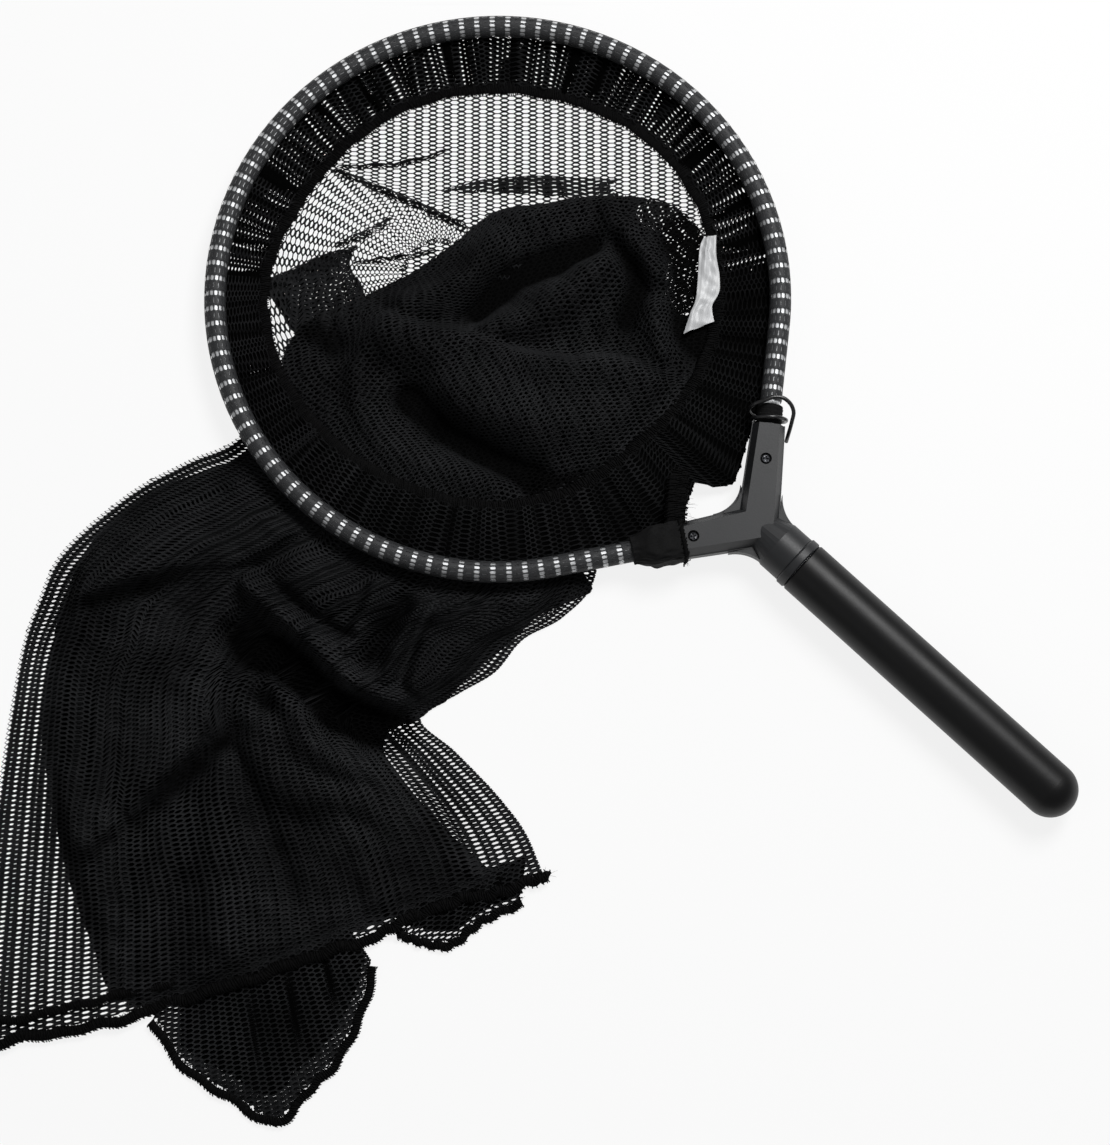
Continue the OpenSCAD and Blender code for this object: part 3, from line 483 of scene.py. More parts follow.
header_stitch = stitch_cell("header_stitch", (0.88 * MM, 1.08 * MM), 0.3 * MM, gather=0.8 * MM)
header_top = header_layer(
    "header_upper_net", 1.0 * MM, (29, 47, 71, 103), open_stitch, polyester, 2.0)
# The lower and the bunched layers are in painted shade
header_layer(
    "header_lower_net", -0.8 * MM, (31, 53, 67, 97), header_stitch, shaded_polyester, 3.0)
header_layer(
    "header_bunched_net", 0.2 * MM, (37, 59, 73, 91), close_stitch, shaded_polyester, 3.5, piled=True)
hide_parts("header_band")


# Seam: the overlocked join of header and sock, a thick black ring of looped thread round a rolled edge.
# Spun polyester thread, matt, with stray ends that stand off it.
def strand(name, rings):
    """A piece of thread: a closed skin over rings of points."""
    mesh = bmesh.new()
    rings = [[mesh.verts.new(point) for point in ring] for ring in rings]
    sides = len(rings[0])
    for low, high in zip(rings, rings[1:]):
        for i in range(sides):
            mesh.faces.new((low[i], low[(i + 1) % sides], high[(i + 1) % sides], high[i]))
    mesh.faces.new(rings[0][::-1])
    mesh.faces.new(rings[-1])
    bmesh.ops.recalc_face_normals(mesh, faces=mesh.faces)
    return pattern_object(name, mesh)


def thread_loop(name, half_width, height, slant, thread_r, sides=5, steps=8):
    """One overlock loop: a thread that arches over the band from edge to edge, leaning along it."""
    rings = []
    for k in range(steps + 1):
        a = math.pi * k / steps
        middle = Vector((
            slant * (k / steps - 0.5), half_width * math.cos(a), height * math.sin(a) - 0.2 * height))
        across = Vector((0, math.cos(a) * height, math.sin(a) * half_width)).normalized()
        rings.append([
            middle + thread_r * (math.cos(b) * across + math.sin(b) * Vector((1, 0, 0)))
            for b in (2 * math.pi * i / sides for i in range(sides))])
    return strand(name, rings)


def loose_end(name, length, thread_r, curl, steps=6):
    """A stray thread end that leaves the band sideways and curls."""
    rings = []
    for k in range(steps + 1):
        s = k / steps
        middle = Vector((curl * length * s * s, length * s, 0.35 * length * s * (1 - s)))
        rings.append([
            middle + thread_r * (1 - 0.6 * s) * Vector((math.cos(b), 0, math.sin(b)))
            for b in (0, 2.1, 4.2)])
    return strand(name, rings)


def overlock_tree():
    """Runs a rolled band along a line, and thread loops and loose ends over it."""
    tree, given = group_tree("overlocked_edge", {
        "Loop": "Object", "Loose End": "Object", "Pitch": "Float", "Band Width": "Float",
        "Band Height": "Float", "Loose Share": "Float", "Seed": "Int", "Thread": "Material"})
    line = add(tree, "GeometryNodeMeshToCurve", {"Mesh": given["Geometry"]})
    flat_line = add(tree, "GeometryNodeSetCurveNormal", {"Curve": line.outputs["Curve"]}, mode="Z_UP")
    circle = add(tree, "GeometryNodeCurvePrimitiveCircle", {"Resolution": 10, "Radius": 0.5})
    size = add(tree, "ShaderNodeCombineXYZ", {0: given["Band Width"], 1: given["Band Height"], 2: 1.0})
    oval = add(tree, "GeometryNodeTransform", {"Geometry": circle.outputs["Curve"], "Scale": size.outputs[0]})
    band = add(tree, "GeometryNodeCurveToMesh", {
        "Curve": flat_line.outputs["Curve"], "Profile Curve": oval.outputs["Geometry"], "Fill Caps": True})
    points = add(tree, "GeometryNodeCurveToPoints", {
        "Curve": line.outputs["Curve"], "Length": given["Pitch"]}, mode="LENGTH")
    facing = add(tree, "FunctionNodeAxesToRotation", {
        "Primary Axis": (0, 0, 1), "Secondary Axis": points.outputs["Tangent"]},
        primary_axis="Z", secondary_axis="X")
    parts = [band.outputs["Mesh"]]
    for what, lean, kind in (("Loop", 0.22, 1), ("Loose End", 1.2, 2)):
        seed = add(tree, "ShaderNodeMath", {0: given["Seed"], 1: float(kind)}, operation="ADD")
        wobble = add(tree, "FunctionNodeRandomValue", {
            0: (-lean, -lean, -lean), 1: (lean, lean, lean), "Seed": seed.outputs[0]},
            data_type="FLOAT_VECTOR")
        tilt = add(tree, "FunctionNodeEulerToRotation", {0: wobble.outputs[0]})
        leaning = add(tree, "FunctionNodeRotateRotation", {
            0: facing.outputs[0], 1: tilt.outputs[0]}, rotation_space="LOCAL")
        source = add(tree, "GeometryNodeObjectInfo", {"Object": given[what]})
        placed = add(tree, "GeometryNodeInstanceOnPoints", {
            "Points": points.outputs["Points"], "Instance": source.outputs["Geometry"],
            "Rotation": leaning.outputs[0]})
        if what == "Loose End":
            chance = add(tree, "FunctionNodeRandomValue", {"Seed": seed.outputs[0]}, data_type="FLOAT")
            few = add(tree, "ShaderNodeMath", {
                0: chance.outputs[1], 1: given["Loose Share"]}, operation="LESS_THAN")
            tree.links.new(few.outputs[0], placed.inputs["Selection"])
        parts.append(placed.outputs["Instances"])
    joined = add(tree, "GeometryNodeJoinGeometry")
    for part in parts:
        tree.links.new(part, joined.inputs[0])
    real = add(tree, "GeometryNodeRealizeInstances", {"Geometry": joined.outputs[0]})
    # Thread that would hang through the floor lies on it
    thread_low = 0.2 * MM
    position = add(tree, "GeometryNodeInputPosition")
    part = add(tree, "ShaderNodeSeparateXYZ", {0: position.outputs[0]})
    level = add(tree, "ShaderNodeMath", {0: part.outputs[2], 1: thread_low}, operation="MAXIMUM")
    lying = add(tree, "ShaderNodeCombineXYZ", {0: part.outputs[0], 1: part.outputs[1], 2: level.outputs[0]})
    laid = add(tree, "GeometryNodeSetPosition", {"Geometry": real.outputs[0], "Position": lying.outputs[0]})
    smooth = add(tree, "GeometryNodeSetShadeSmooth", {"Geometry": laid.outputs[0]})
    final = add(tree, "GeometryNodeSetMaterial", {"Geometry": smooth.outputs[0], "Material": given["Thread"]})
    add(tree, "NodeGroupOutput", {"Geometry": final.outputs[0]})
    return tree


# Spun thread: dull black staple fibre, with a little paler dust caught in it
thread, tree, shader, place = start_material("spun_polyester_thread", Roughness=0.8, Specular_IOR_Level=0.08)
twist = add(tree, "ShaderNodeTexNoise", {"Vector": place, "Scale": 1 / (0.8 * MM), "Detail": 3.0})
dust = add(tree, "ShaderNodeMapRange", {"Value": twist.outputs["Fac"], "From Min": 0.35, "From Max": 0.8})
tint = add(tree, "ShaderNodeMix", {
    "Factor": dust.outputs[0], 6: linear("#040404"), 7: linear("#121213")}, data_type="RGBA")
tree.links.new(tint.outputs[2], shader.inputs["Base Color"])
overlocking = overlock_tree()


def overlocked(name, line, closed, width, height, pitch, loose=0.0, seed=0):
    """An overlocked edge along a line of points. Loops stand a little out of the band, and loose is the
    share of them that has a stray end."""
    count = len(line)
    edges = [(i, (i + 1) % count) for i in range(count if closed else count - 1)]
    mesh = bpy.data.meshes.new(name)
    mesh.from_pydata([tuple(p) for p in line], edges, [])
    piece = shown(name, mesh)
    loop = thread_loop(name + "_loop", width * 0.52, height * 0.58, pitch * 1.8, 0.42 * MM)
    stray = loose_end(name + "_stray", width * 0.9, 0.16 * MM, 0.5)
    run_tree(piece, overlocking, {
        "Loop": loop, "Loose End": stray, "Pitch": pitch, "Band Width": width * 0.86,
        "Band Height": height * 0.7, "Loose Share": loose, "Seed": seed, "Thread": thread})
    bpy.data.objects.remove(loop)
    bpy.data.objects.remove(stray)
    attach(piece, "root")
    return piece


turn = np.linspace(0, 2 * math.pi, 240, endpoint=False)
waver = 0.35 * MM * (np.sin(23 * turn) + np.sin(37 * turn + 1))
reach = seam_reach(turn) + waver
seam_z = seam_height(turn) + raised_by(turn) + 0.1 * MM
seam_line = np.stack([reach * np.cos(turn), reach * np.sin(turn), seam_z], axis=-1)
seam = overlocked("overlocked_seam", seam_line, True, seam_w, seam_h, 1.3 * MM, loose=0.2, seed=11)
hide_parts("header_seam")


# Mouth net: the layer of knitted net that lies open on the floor inside the hoop, sewn to the seam and going
# under the bunch. Part of it is turned over and gathered in small pleats, two strips are folded double on it,
# and four pleats stand up along its creases.
def smooth_line(points, shares):
    """Points at the given shares of a smooth curve through listed points, in millimetres."""
    p = np.asarray(points, float) * MM
    n = len(p) - 1
    x = np.clip(shares, 0, 1) * n
    i = np.minimum(x.astype(int), n - 1)
    t = (x - i)[:, None]
    a, b, c, d = p[np.maximum(i - 1, 0)], p[i], p[i + 1], p[np.minimum(i + 2, n)]
    square, cube = 2 * a - 5 * b + 4 * c - d, 3 * b - a - 3 * c + d
    return 0.5 * (2 * b + (c - a) * t + square * t ** 2 + cube * t ** 3)


def lifted(plan, height):
    """Places of a plan at the given heights."""
    return np.concatenate([plan, height[..., None]], axis=-1)


def fold_heights(plan, folds):
    """Height that folds give each place: ridges merge as the higher one, hollows are cut out of them.
    A fold is its line, its height, and how far it reaches to the left and the right of its line, in mm."""
    flat_plan = plan.reshape(-1, 2)
    ridges, hollows = np.zeros(len(flat_plan)), np.zeros(len(flat_plan))
    for line, height, left, right in folds:
        path = smooth_line(line, np.linspace(0, 1, 48))
        heading = np.gradient(path, axis=0)
        heading /= np.linalg.norm(heading, axis=1)[:, None]
        away = flat_plan[:, None] - path[None]
        nearest = (away ** 2).sum(axis=2).argmin(axis=1)
        offset = away[np.arange(len(flat_plan)), nearest]
        distance = np.linalg.norm(offset, axis=1)
        cross = heading[nearest, 0] * offset[:, 1] - heading[nearest, 1] * offset[:, 0]
        leftward = cross / (distance + 1e-6)
        reach = (right + (left - right) * (leftward + 1) / 2) * MM
        swell = abs(height) * MM * np.exp(-(distance / reach) ** 2)
        if height > 0:
            ridges += swell ** 4
        else:
            hollows += swell
    return (ridges ** 0.25 - hollows).reshape(plan.shape[:2])


def ruffle(plan, depth, seed):
    """Small uneven waves of the cloth, 14 to 40 mm long."""
    chance = np.random.default_rng(seed)
    waves = 0
    for _ in range(9):
        heading = chance.uniform(0, math.pi)
        length = chance.uniform(14, 40) * MM
        phase = chance.uniform(0, 6.28)
        across = plan[..., 0] * math.cos(heading) + plan[..., 1] * math.sin(heading)
        waves = waves + np.sin(across * 2 * math.pi / length + phase)
    return waves / 3 * depth


def turned(plan, angle):
    """A plan turned clockwise, which sets the way that the columns run."""
    c, s = math.cos(angle), math.sin(angle)
    return np.stack([plan[..., 0] * c + plan[..., 1] * s, plan[..., 1] * c - plan[..., 0] * s], axis=-1)


def surface_lengths(places):
    """Lengths along the cloth from its first row and from its first column, for each point."""
    down = np.linalg.norm(np.diff(places, axis=0), axis=2)
    over = np.linalg.norm(np.diff(places, axis=1), axis=2)
    return (np.concatenate([np.zeros((1, places.shape[1])), np.cumsum(down, axis=0)]),
            np.concatenate([np.zeros((places.shape[0], 1)), np.cumsum(over, axis=1)], axis=1))


def spread_out(places):
    """Flat place of each point of a cloth: its lengths across and down."""
    column, row = surface_lengths(places)
    return np.stack([row, column], axis=-1)


def inside_depth(plan, outline):
    """How far inside an outline each place lies, below zero outside it, and the outline's nearest point."""
    p = plan.reshape(-1, 2)
    corners = np.asarray(outline, float) * MM
    inside, nearest, foot = np.zeros(len(p), bool), np.full(len(p), 1e9), np.zeros_like(p)
    for a, b in zip(corners, np.roll(corners, -1, axis=0)):
        run = b - a
        share = np.clip(((p - a) @ run) / (run @ run), 0, 1)
        on_edge = a + share[:, None] * run
        distance = np.linalg.norm(p - on_edge, axis=1)
        foot = np.where((distance < nearest)[:, None], on_edge, foot)
        nearest = np.minimum(nearest, distance)
        crosses = (a[1] > p[:, 1]) != (b[1] > p[:, 1])
        inside ^= crosses & (p[:, 0] < run[0] * (p[:, 1] - a[1]) / (run[1] if run[1] else 1e-9) + a[0])
    return np.where(inside, nearest, -nearest).reshape(plan.shape[:2]), foot.reshape(plan.shape)


def outward_of(line):
    """Unit vectors to the right of a line in plan."""
    way = np.gradient(line, axis=0)
    way /= np.linalg.norm(way, axis=1)[:, None]
    return np.stack([way[:, 1], -way[:, 0]], axis=-1)


mouth_stitch = stitch_cell("mouth_stitch", (0.34 * MM, 0.78 * MM), 0.3 * MM)
mouth_folds = [
    ([(-137, -3), (-96, 8), (-50, 31)], 5, 5, 9),
    ([(-112, -80), (-97, -50), (-84, -16)], 6, 6, 6),
    ([(-128, -40), (-112, -22), (-96, -2)], 4, 5, 5),
]
# Where the layer is turned over, so that its columns run the other way
turned_part = [
    (-153, -10), (-132, -6), (-112, 1), (-91, 8), (-74, 14), (-43, 23), (-7, 28), (-4, -22), (-25, -132),
    (-77, -162), (-135, -125), (-157, -58)]
# The picture's upright, turned from +Y; the columns of the single layers run by it
picture_turn = math.radians(42.84)
share, turn = np.meshgrid(np.linspace(0, 1, 140), np.linspace(0, 2 * math.pi, 401), indexing="ij")
mouth_r = seam_reach(turn) - 2.6 * MM
mouth_z = 0.8 * MM
plan = np.stack([share * mouth_r * np.cos(turn), share * mouth_r * np.sin(turn)], axis=-1)
edge = ease((share - 0.86) / 0.14)
raised = fold_heights(plan, mouth_folds) + ruffle(plan, 0.35 * MM, 1)
height = mouth_z + np.maximum(edge * (seam_height(turn) - mouth_z) + raised * (1 - edge), 0)
past_turn = inside_depth(plan, turned_part)[0]
# Its columns fan out from a place under the bunch, where it is gathered up in small pleats
fan_middle, fan_r = np.array([-42, -13]) * MM, 90 * MM
from_knot = np.linalg.norm(plan - fan_middle, axis=2)
fan_turn = np.arctan2(plan[..., 1] - fan_middle[1], plan[..., 0] - fan_middle[0]) % (2 * math.pi)
fan_part = (past_turn > -3 * MM) & (from_knot > 18 * MM) & (abs(fan_turn - math.pi) < 2.6)
mouth_part = (past_turn < 5 * MM) | (from_knot < 25 * MM)
mouth = knitted("mouth_net_layer", lifted(plan, height), turned(plan, picture_turn) * 1.02,
                mouth_part, mouth_stitch, seed=4.0)
fan_fade = 1 - ease((from_knot - 35 * MM) / (50 * MM))
fan_pleats = 1.7 * MM * (1 + np.sin(40 * fan_turn)) * fan_fade * (1 - edge)
fan_flat = np.stack([fan_turn * fan_r, from_knot], axis=-1)
knitted("mouth_turned_layer", lifted(plan, height + fan_pleats), fan_flat,
        fan_part, mouth_stitch, seed=4.5)
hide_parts("mouth_net")

# Strips folded double: both long edges, level, depth of the crumples, stitch and yarn
lens_edges = ([(-79, 29), (-65, 52), (-42, 78), (-17, 99), (4, 117)],
              [(-78, 28), (-54, 48), (-29, 70), (-6, 88), (14, 108)])
side_edges = ([(-121, -101), (-119, -89), (-113, -74), (-108, -60), (-102, -49), (-92, -33)],
              [(-110, -99), (-96, -103), (-80, -107), (-62, -98), (-54, -75), (-70, -52)])
end_draw = np.array([6, 5]) * MM
doubled = {
    "mouth_lens_fold": (lens_edges, 2.2, 1.2, half_stitch, polyester),
    "mouth_side_fold": (side_edges, 2.6, 4.0, half_stitch, polyester),
    # The under layer of the side strip is in painted shade
    "mouth_side_under": (side_edges, 1.6, 3.2, dense_stitch, shaded_polyester),
}
for number, (name, ((first_edge, last_edge), level, crumple, stitch, yarn)) in enumerate(doubled.items()):
    over, down = np.linspace(0, 1, 90), np.linspace(0, 1, 40)[:, None, None]
    strip = smooth_line(first_edge, over)[None] * (1 - down) + smooth_line(last_edge, over)[None] * down
    # The gathered end is drawn in
    strip = strip - end_draw * ease((over - 0.7) / 0.3)[None, :, None] * np.sin(math.pi * down)
    waves = np.sin(over * 25 + 2)[None] * np.sin(down[..., 0] * 9 + over[None] * 7)
    rise = level * MM + abs(waves) * crumple * MM * np.sin(math.pi * down[..., 0]) ** 0.5
    places = lifted(strip, rise)
    knitted(name, places, spread_out(places),
            stitch=stitch, seed=20.0 + number, uneven=1.6 * MM, yarn=yarn)

# Standing pleats along the creases: line, half width and height in mm
mouth_pleats = {
    "mouth_pleat_upper": ([(-140, -6), (-126, 7), (-112, 21), (-101, 38), (-93, 55)], 1.5, 10),
    "mouth_pleat_turn": ([(-140, -8), (-112, 1), (-91, 8), (-74, 14), (-45, 23)], 3.2, 11),
    "mouth_pleat_low": ([(-87, -47), (-75, -33), (-64, -20), (-51, -1)], 1.8, 10),
    "mouth_pleat_knot": ([(-104, -46), (-97, -33), (-92, -21), (-89, -6)], 3.4, 10),
}
for number, (name, (line, half, tall)) in enumerate(mouth_pleats.items()):
    over, down = np.linspace(0, 1, 120), np.linspace(0, 1, 31)[:, None]
    middle = smooth_line(line, over)
    taper = (0.25 + 0.75 * np.sin(math.pi * over) ** 0.6) * MM
    pleat = middle[None] + outward_of(middle)[None] * ((2 * down - 1) * half * taper)[..., None]
    rise = 1.2 * MM + tall * taper * np.sin(math.pi * down) * (0.8 + 0.2 * np.sin(over * 23))
    places = lifted(pleat, rise)
    knitted(name, places, spread_out(places),
            stitch=half_stitch, seed=25.0 + number)


# Bunched net: the sock pushed back inside the hoop, many loose layers in soft rolls.
# Two open layers in the folds that show, over closer layers in painted shade that stand for the many under
# them.
bunch_outline = [
    (62, 127), (92, 110), (118, 84), (139, 47), (146, 0), (139, -45), (119, -84), (89, -115), (51, -137),
    (0, -147), (-31, -148), (-56, -143), (-74, -126), (-80, -108), (-80, -90), (-68, -60), (-56, -29),
    (-48, 8), (-43, 42), (-22, 70), (-5, 92), (20, 115), (40, 126), (62, 127)]
bunch_mid = np.array([30, -10]) * MM
# Beside the label the bunch is only a few layers thick, and the floor shows through in places
thin_part = [
    (24, 106), (22, 122), (37, 136), (55, 136), (70, 127), (79, 108), (85, 90), (99, 84), (94, 73),
    (73, 79), (64, 96), (50, 105), (34, 101)]
bunch_folds = [
    ([(-36, -62), (-15, -52), (10, -36), (41, -23), (68, -5), (91, 17), (114, 25)], 23, 9, 26),
    ([(32, -60), (76, -42), (108, -21)], 23, 32, 24),
    ([(-37, -61), (-39, -88), (-24, -108), (3, -121), (33, -119), (61, -107), (88, -95)], 19, 13, 10),
    ([(-41, -43), (-24, -10), (-30, 27)], 16, 12, 13),
    ([(35, 59), (35, 31), (27, 1), (13, -21)], 19, 12, 15),
    ([(14, 92), (37, 86), (63, 82)], 13, 9, 8),
    ([(80, 62), (104, 46)], 13, 9, 8),
    ([(-38, 42), (-22, 64), (-1, 88), (15, 106)], 12, 8, 9),
    ([(-66, -112), (-48, -112), (-27, -112)], 9, 8, 8),
    ([(5, -88), (39, -86), (69, -81), (97, -74)], -21, 10, 9),
    ([(104, -72), (119, -56), (124, -32)], -14, 9, 9),
    ([(127, -14), (124, 22)], -9, 7, 7),
    ([(-2, -17), (-3, 14), (9, 40), (21, 65)], -19, 9, 9),
    ([(70, 45), (59, 71), (32, 82)], -11, 7, 8),
    ([(-71, -98), (-46, -92)], -9, 11, 12),
    ([(66, 116), (84, 104), (98, 90), (108, 74)], -26, 17, 17),
]


def bunch_layer(name, depth, pattern_turn, stitch, yarn, seed, side=0):
    """One layer of the bunch; depth is its share of the height of the folds. It lies all over the bunch,
    or for a side of 1 or -1 only in or outside the thin part."""
    share, turn = np.meshgrid(np.linspace(0, 1, 110), np.linspace(0, 1, 281), indexing="ij")
    rim = smooth_line(bunch_outline, turn[0])
    plan = bunch_mid + (rim[None] - bunch_mid) * share[..., None]
    fullness = (1 - share ** 5) ** 0.8
    height = 7 * MM + fold_heights(plan, bunch_folds) + ruffle(plan, 1.1 * MM, 2)
    # Painted shade: the yarn is darker in the hollows of the folds, by their height
    crown = 0.06 + 0.94 * ease((height + 3 * MM) / (14 * MM))
    height = np.maximum(height, 0.5 * MM) * fullness * depth
    at_seam = ease((np.linalg.norm(plan, axis=2) - 104 * MM) / (30 * MM))
    seam_z = seam_height(np.arctan2(plan[..., 1], plan[..., 0])) - seam_low * MM
    height = height * (1 - 0.45 * at_seam) + 1.7 * MM + seam_z * at_seam * (0.3 + 0.7 * depth)
    places = lifted(plan, height)
    length = surface_lengths(places)[0]
    away = (rim - bunch_mid) / np.linalg.norm(rim - bunch_mid, axis=1)[:, None]
    flat = turned(away[None] * length[..., None], pattern_turn)
    keep = inside_depth(plan, thin_part)[0] * side > -2 * MM if side else None
    return knitted(name, places, flat, keep, stitch, seed=seed, yarn=yarn,
                   crown=crown)


bunch = bunch_layer("bunched_net_top", 1.0, picture_turn + 0.5, open_stitch, polyester, 5.0)
bunch_layer("bunched_net_second", 0.8, picture_turn - 0.3, open_stitch, polyester, 5.5)
bunch_layer("bunched_net_side", 0.7, picture_turn + 0.8, half_stitch, shaded_polyester, 5.8, 1)
bunch_layer("bunched_net_third", 0.6, picture_turn + 1.1, close_stitch, shaded_polyester, 6.0, -1)
bunch_layer("bunched_net_lowest", 0.3, picture_turn + 0.1, close_stitch, shaded_polyester, 7.0, -1)
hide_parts("sock_bunch")


# Tail: the rest of the sock, laid flat outside the hoop as a flattened tube. Its borders are two layers
# that the floor shows through, and its middle is folded up into many layers.
rim_out_r = 189.3
tail_left = [
    (-44, -118), (-14, -143), (20, -169), (70, -192), (106, -193), (140, -189),
    (206, -171), (260, -154), (320, -133), (373, -113)]
tail_right = [
    (-48, 130), (-16, 122), (8, 104), (34, 96), (56, 80),
    (80, 64), (90, 92), (104, 126), (119, 153), (138, 173)]
tail_end = [(373, -113), (325, -41), (267, 28), (216, 86), (185, 114), (158, 150), (138, 173)]
tail_start_r, tail_start_half = 139.0, math.radians(52)


def from_rim(points):
    """Places given as distance beyond the hoop and distance to the handle's side, in millimetres."""
    c, s = math.cos(sock_angle), math.sin(sock_angle)
    return [((rim_out_r + x) * c - y * s, (rim_out_r + x) * s + y * c) for x, y in points]


def tail_start(share):
    """Where the tail begins under the seam, at shares across it, in millimetres."""
    a = sock_angle + (2 * np.asarray(share) - 1) * tail_start_half
    return np.stack([np.cos(a), np.sin(a)], axis=-1) * tail_start_r


def tail_plan(across, along):
    """The flat outline of the tail filled from its four edges, at shares across and along it."""
    left = smooth_line([tuple(tail_start(0.0)), *from_rim(tail_left)], along)
    right = smooth_line([tuple(tail_start(1.0)), *from_rim(tail_right)], along)
    start, end = tail_start(across) * MM, smooth_line(from_rim(tail_end), across)
    u, v = across[None, :, None], along[:, None, None]
    corners = (1 - u) * (1 - v) * start[0] + u * (1 - v) * start[-1] + (1 - u) * v * end[0] + u * v * end[-1]
    return (1 - v) * start[None] + v * end[None] + (1 - u) * left[:, None] + u * right[:, None] - corners


# Where the tail is folded into many layers, once round it
thick_outline = [
    (-40, -120), (-52, -191), (-77, -244), (-83, -284), (-78, -311), (-60, -347), (-40, -376), (-15, -405),
    (16, -428), (56, -454), (89, -470), (130, -490), (150, -478), (172, -443), (188, -407), (208, -364),
    (226, -330), (256, -272), (214, -273), (179, -270), (146, -264), (140, -250), (147, -240), (155, -220),
    (154, -191), (159, -160), (160, -133), (176, -98), (110, -80)]
tail_folds = [
    ([(11, -196), (-2, -241), (-32, -273), (-58, -321)], 15, 5, 32),
    ([(-1, -247), (22, -274), (43, -301), (58, -339), (59, -384), (56, -425)], 15, 5, 34),
    ([(2, -269), (28, -314), (43, -387)], 9, 10, 12),
    ([(13, -247), (42, -246), (76, -245), (103, -246), (135, -238)], 17, 11, 7),
    ([(33, -219), (51, -217)], 14, 19, 17),
    ([(70, -180), (81, -209), (87, -234)], 14, 8, 7),
    ([(102, -177), (108, -201), (119, -231)], 14, 7, 6),
    ([(147, -133), (123, -148), (116, -177), (124, -200), (135, -220)], 14, 8, 8),
    ([(68, -278), (91, -278), (110, -290), (135, -284), (157, -270)], 15, 5, 15),
    ([(74, -306), (105, -320), (134, -315), (159, -296)], 11, 14, 12),
    ([(79, -340), (114, -380), (155, -417)], 6, 10, 10),
    ([(82, -381), (103, -420), (131, -455)], 5, 9, 9),
    ([(151, -315), (180, -318), (206, -332)], 6, 9, 10),
    ([(-25, -278), (-40, -300), (-53, -323)], -7, 6, 6),
    ([(30, -276), (62, -267), (96, -266), (123, -259), (144, -248)], -26, 11, 11),
    ([(75, -292), (70, -330), (66, -366), (62, -401)], -9, 6, 7),
    ([(79, -326), (130, -346), (174, -368)], -4, 4, 4),
    ([(30, -234), (58, -232), (84, -226)], -6, 4, 4),
    ([(92, -186), (97, -214), (102, -234)], -7, 5, 5),
]
tail_cloth_w = 0.31
across, along = np.linspace(0, 1, 150), np.linspace(0, 1, 230)
plan = tail_plan(across, along)
depth_in, foot = inside_depth(plan, thick_outline)


def tail_height(plan):
    """Height of the tail's upper layer, flat at the borders and folded where it is thick, and its crowns."""
    depth_in = inside_depth(plan, thick_outline)[0]
    thick = ease(depth_in / (13 * MM))
    past_rim = ease((np.linalg.norm(plan, axis=2) - (rim_out_r + 1) * MM) / (22 * MM))
    raw = 5 * MM + fold_heights(plan, tail_folds) + ruffle(plan, 0.9 * MM, 3)
    folded = np.maximum(raw, 0.8 * MM) * thick
    # Painted shade: the yarn is darker in the hollows of the folds, by their height
    crown = 0.04 + 1.16 * ease((raw + 4 * MM) / (11 * MM))
    return 2.4 * MM + folded * past_rim + 5 * MM * thick * (1 - past_rim), crown


def tail_layer(name, plan, height, stitch, seed, width=tail_cloth_w, keep=None, slip=0.0, yarn=polyester,
               crown=None):
    """One layer of the tail. Its columns run to the hem and its rows lie along it."""
    places = lifted(plan, height)
    column, row = surface_lengths(places)
    row *= width / row[:, -1:]
    # Neighbouring rows of cloth can't slip past each other, so their lengths are evened out
    pad = 12
    window = 2 * pad + 1
    even = np.pad(row, ((pad, pad), (0, 0)), mode="edge").cumsum(axis=0)
    row[1:] = (even[window:] - even[:-window]) / window
    flat = np.stack([row, column - column[-1:] + slip], axis=-1)
    return knitted(name, places, flat, keep, stitch, seed=seed, yarn=yarn, crown=crown)


tail_stitch = stitch_cell("tail_stitch", (0.5 * MM, 0.66 * MM), 0.5 * MM)
border_stitch = stitch_cell("border_stitch", (0.85 * MM, 1.25 * MM), 0.4 * MM)
tail_top_z, tail_crown = tail_height(plan)
tail = tail_layer("tail_upper_layer", plan, tail_top_z, tail_stitch, 8.0, crown=tail_crown)
tail_layer(
    "tail_lower_layer", plan, np.full_like(tail_top_z, 0.7 * MM), border_stitch, 9.0, slip=1.3 * MM)
# A third layer is turned in along the left border
left_border = (depth_in < 4 * MM) & (across < 0.45)[None]
tail_layer(
    "tail_turned_layer", plan, np.full_like(tail_top_z, 1.5 * MM), tail_stitch, 9.2, 0.318, left_border,
    slip=0.6 * MM)
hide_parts("sock_tail")
# The folded layers inside end on the outline of the thick part. Each has its level at the borders in mm,
# its share of the folds' height, and its cloth's width in metres.
middle = depth_in > -5 * MM
plan_in = np.where((depth_in < 0)[..., None] & middle[..., None], foot, plan)
inner_z, inner_crown = tail_height(plan_in)
# The inner fold and the inner turn are in painted shade
tail_inner = (
    ("tail_second_layer", 1.3, 0.76, tail_stitch, 9.5, 0.32, polyester),
    ("tail_inner_fold", 1.0, 0.55, close_stitch, 10.0, 0.33, shaded_polyester),
    ("tail_inner_turn", 0.9, 0.28, close_stitch, 11.0, 0.34, shaded_polyester))
for name, level, share, stitch, seed, width, yarn in tail_inner:
    tail_layer(name, plan_in, level * MM + (inner_z - level * MM) * share, stitch, seed, width, middle,
               yarn=yarn, crown=inner_crown)


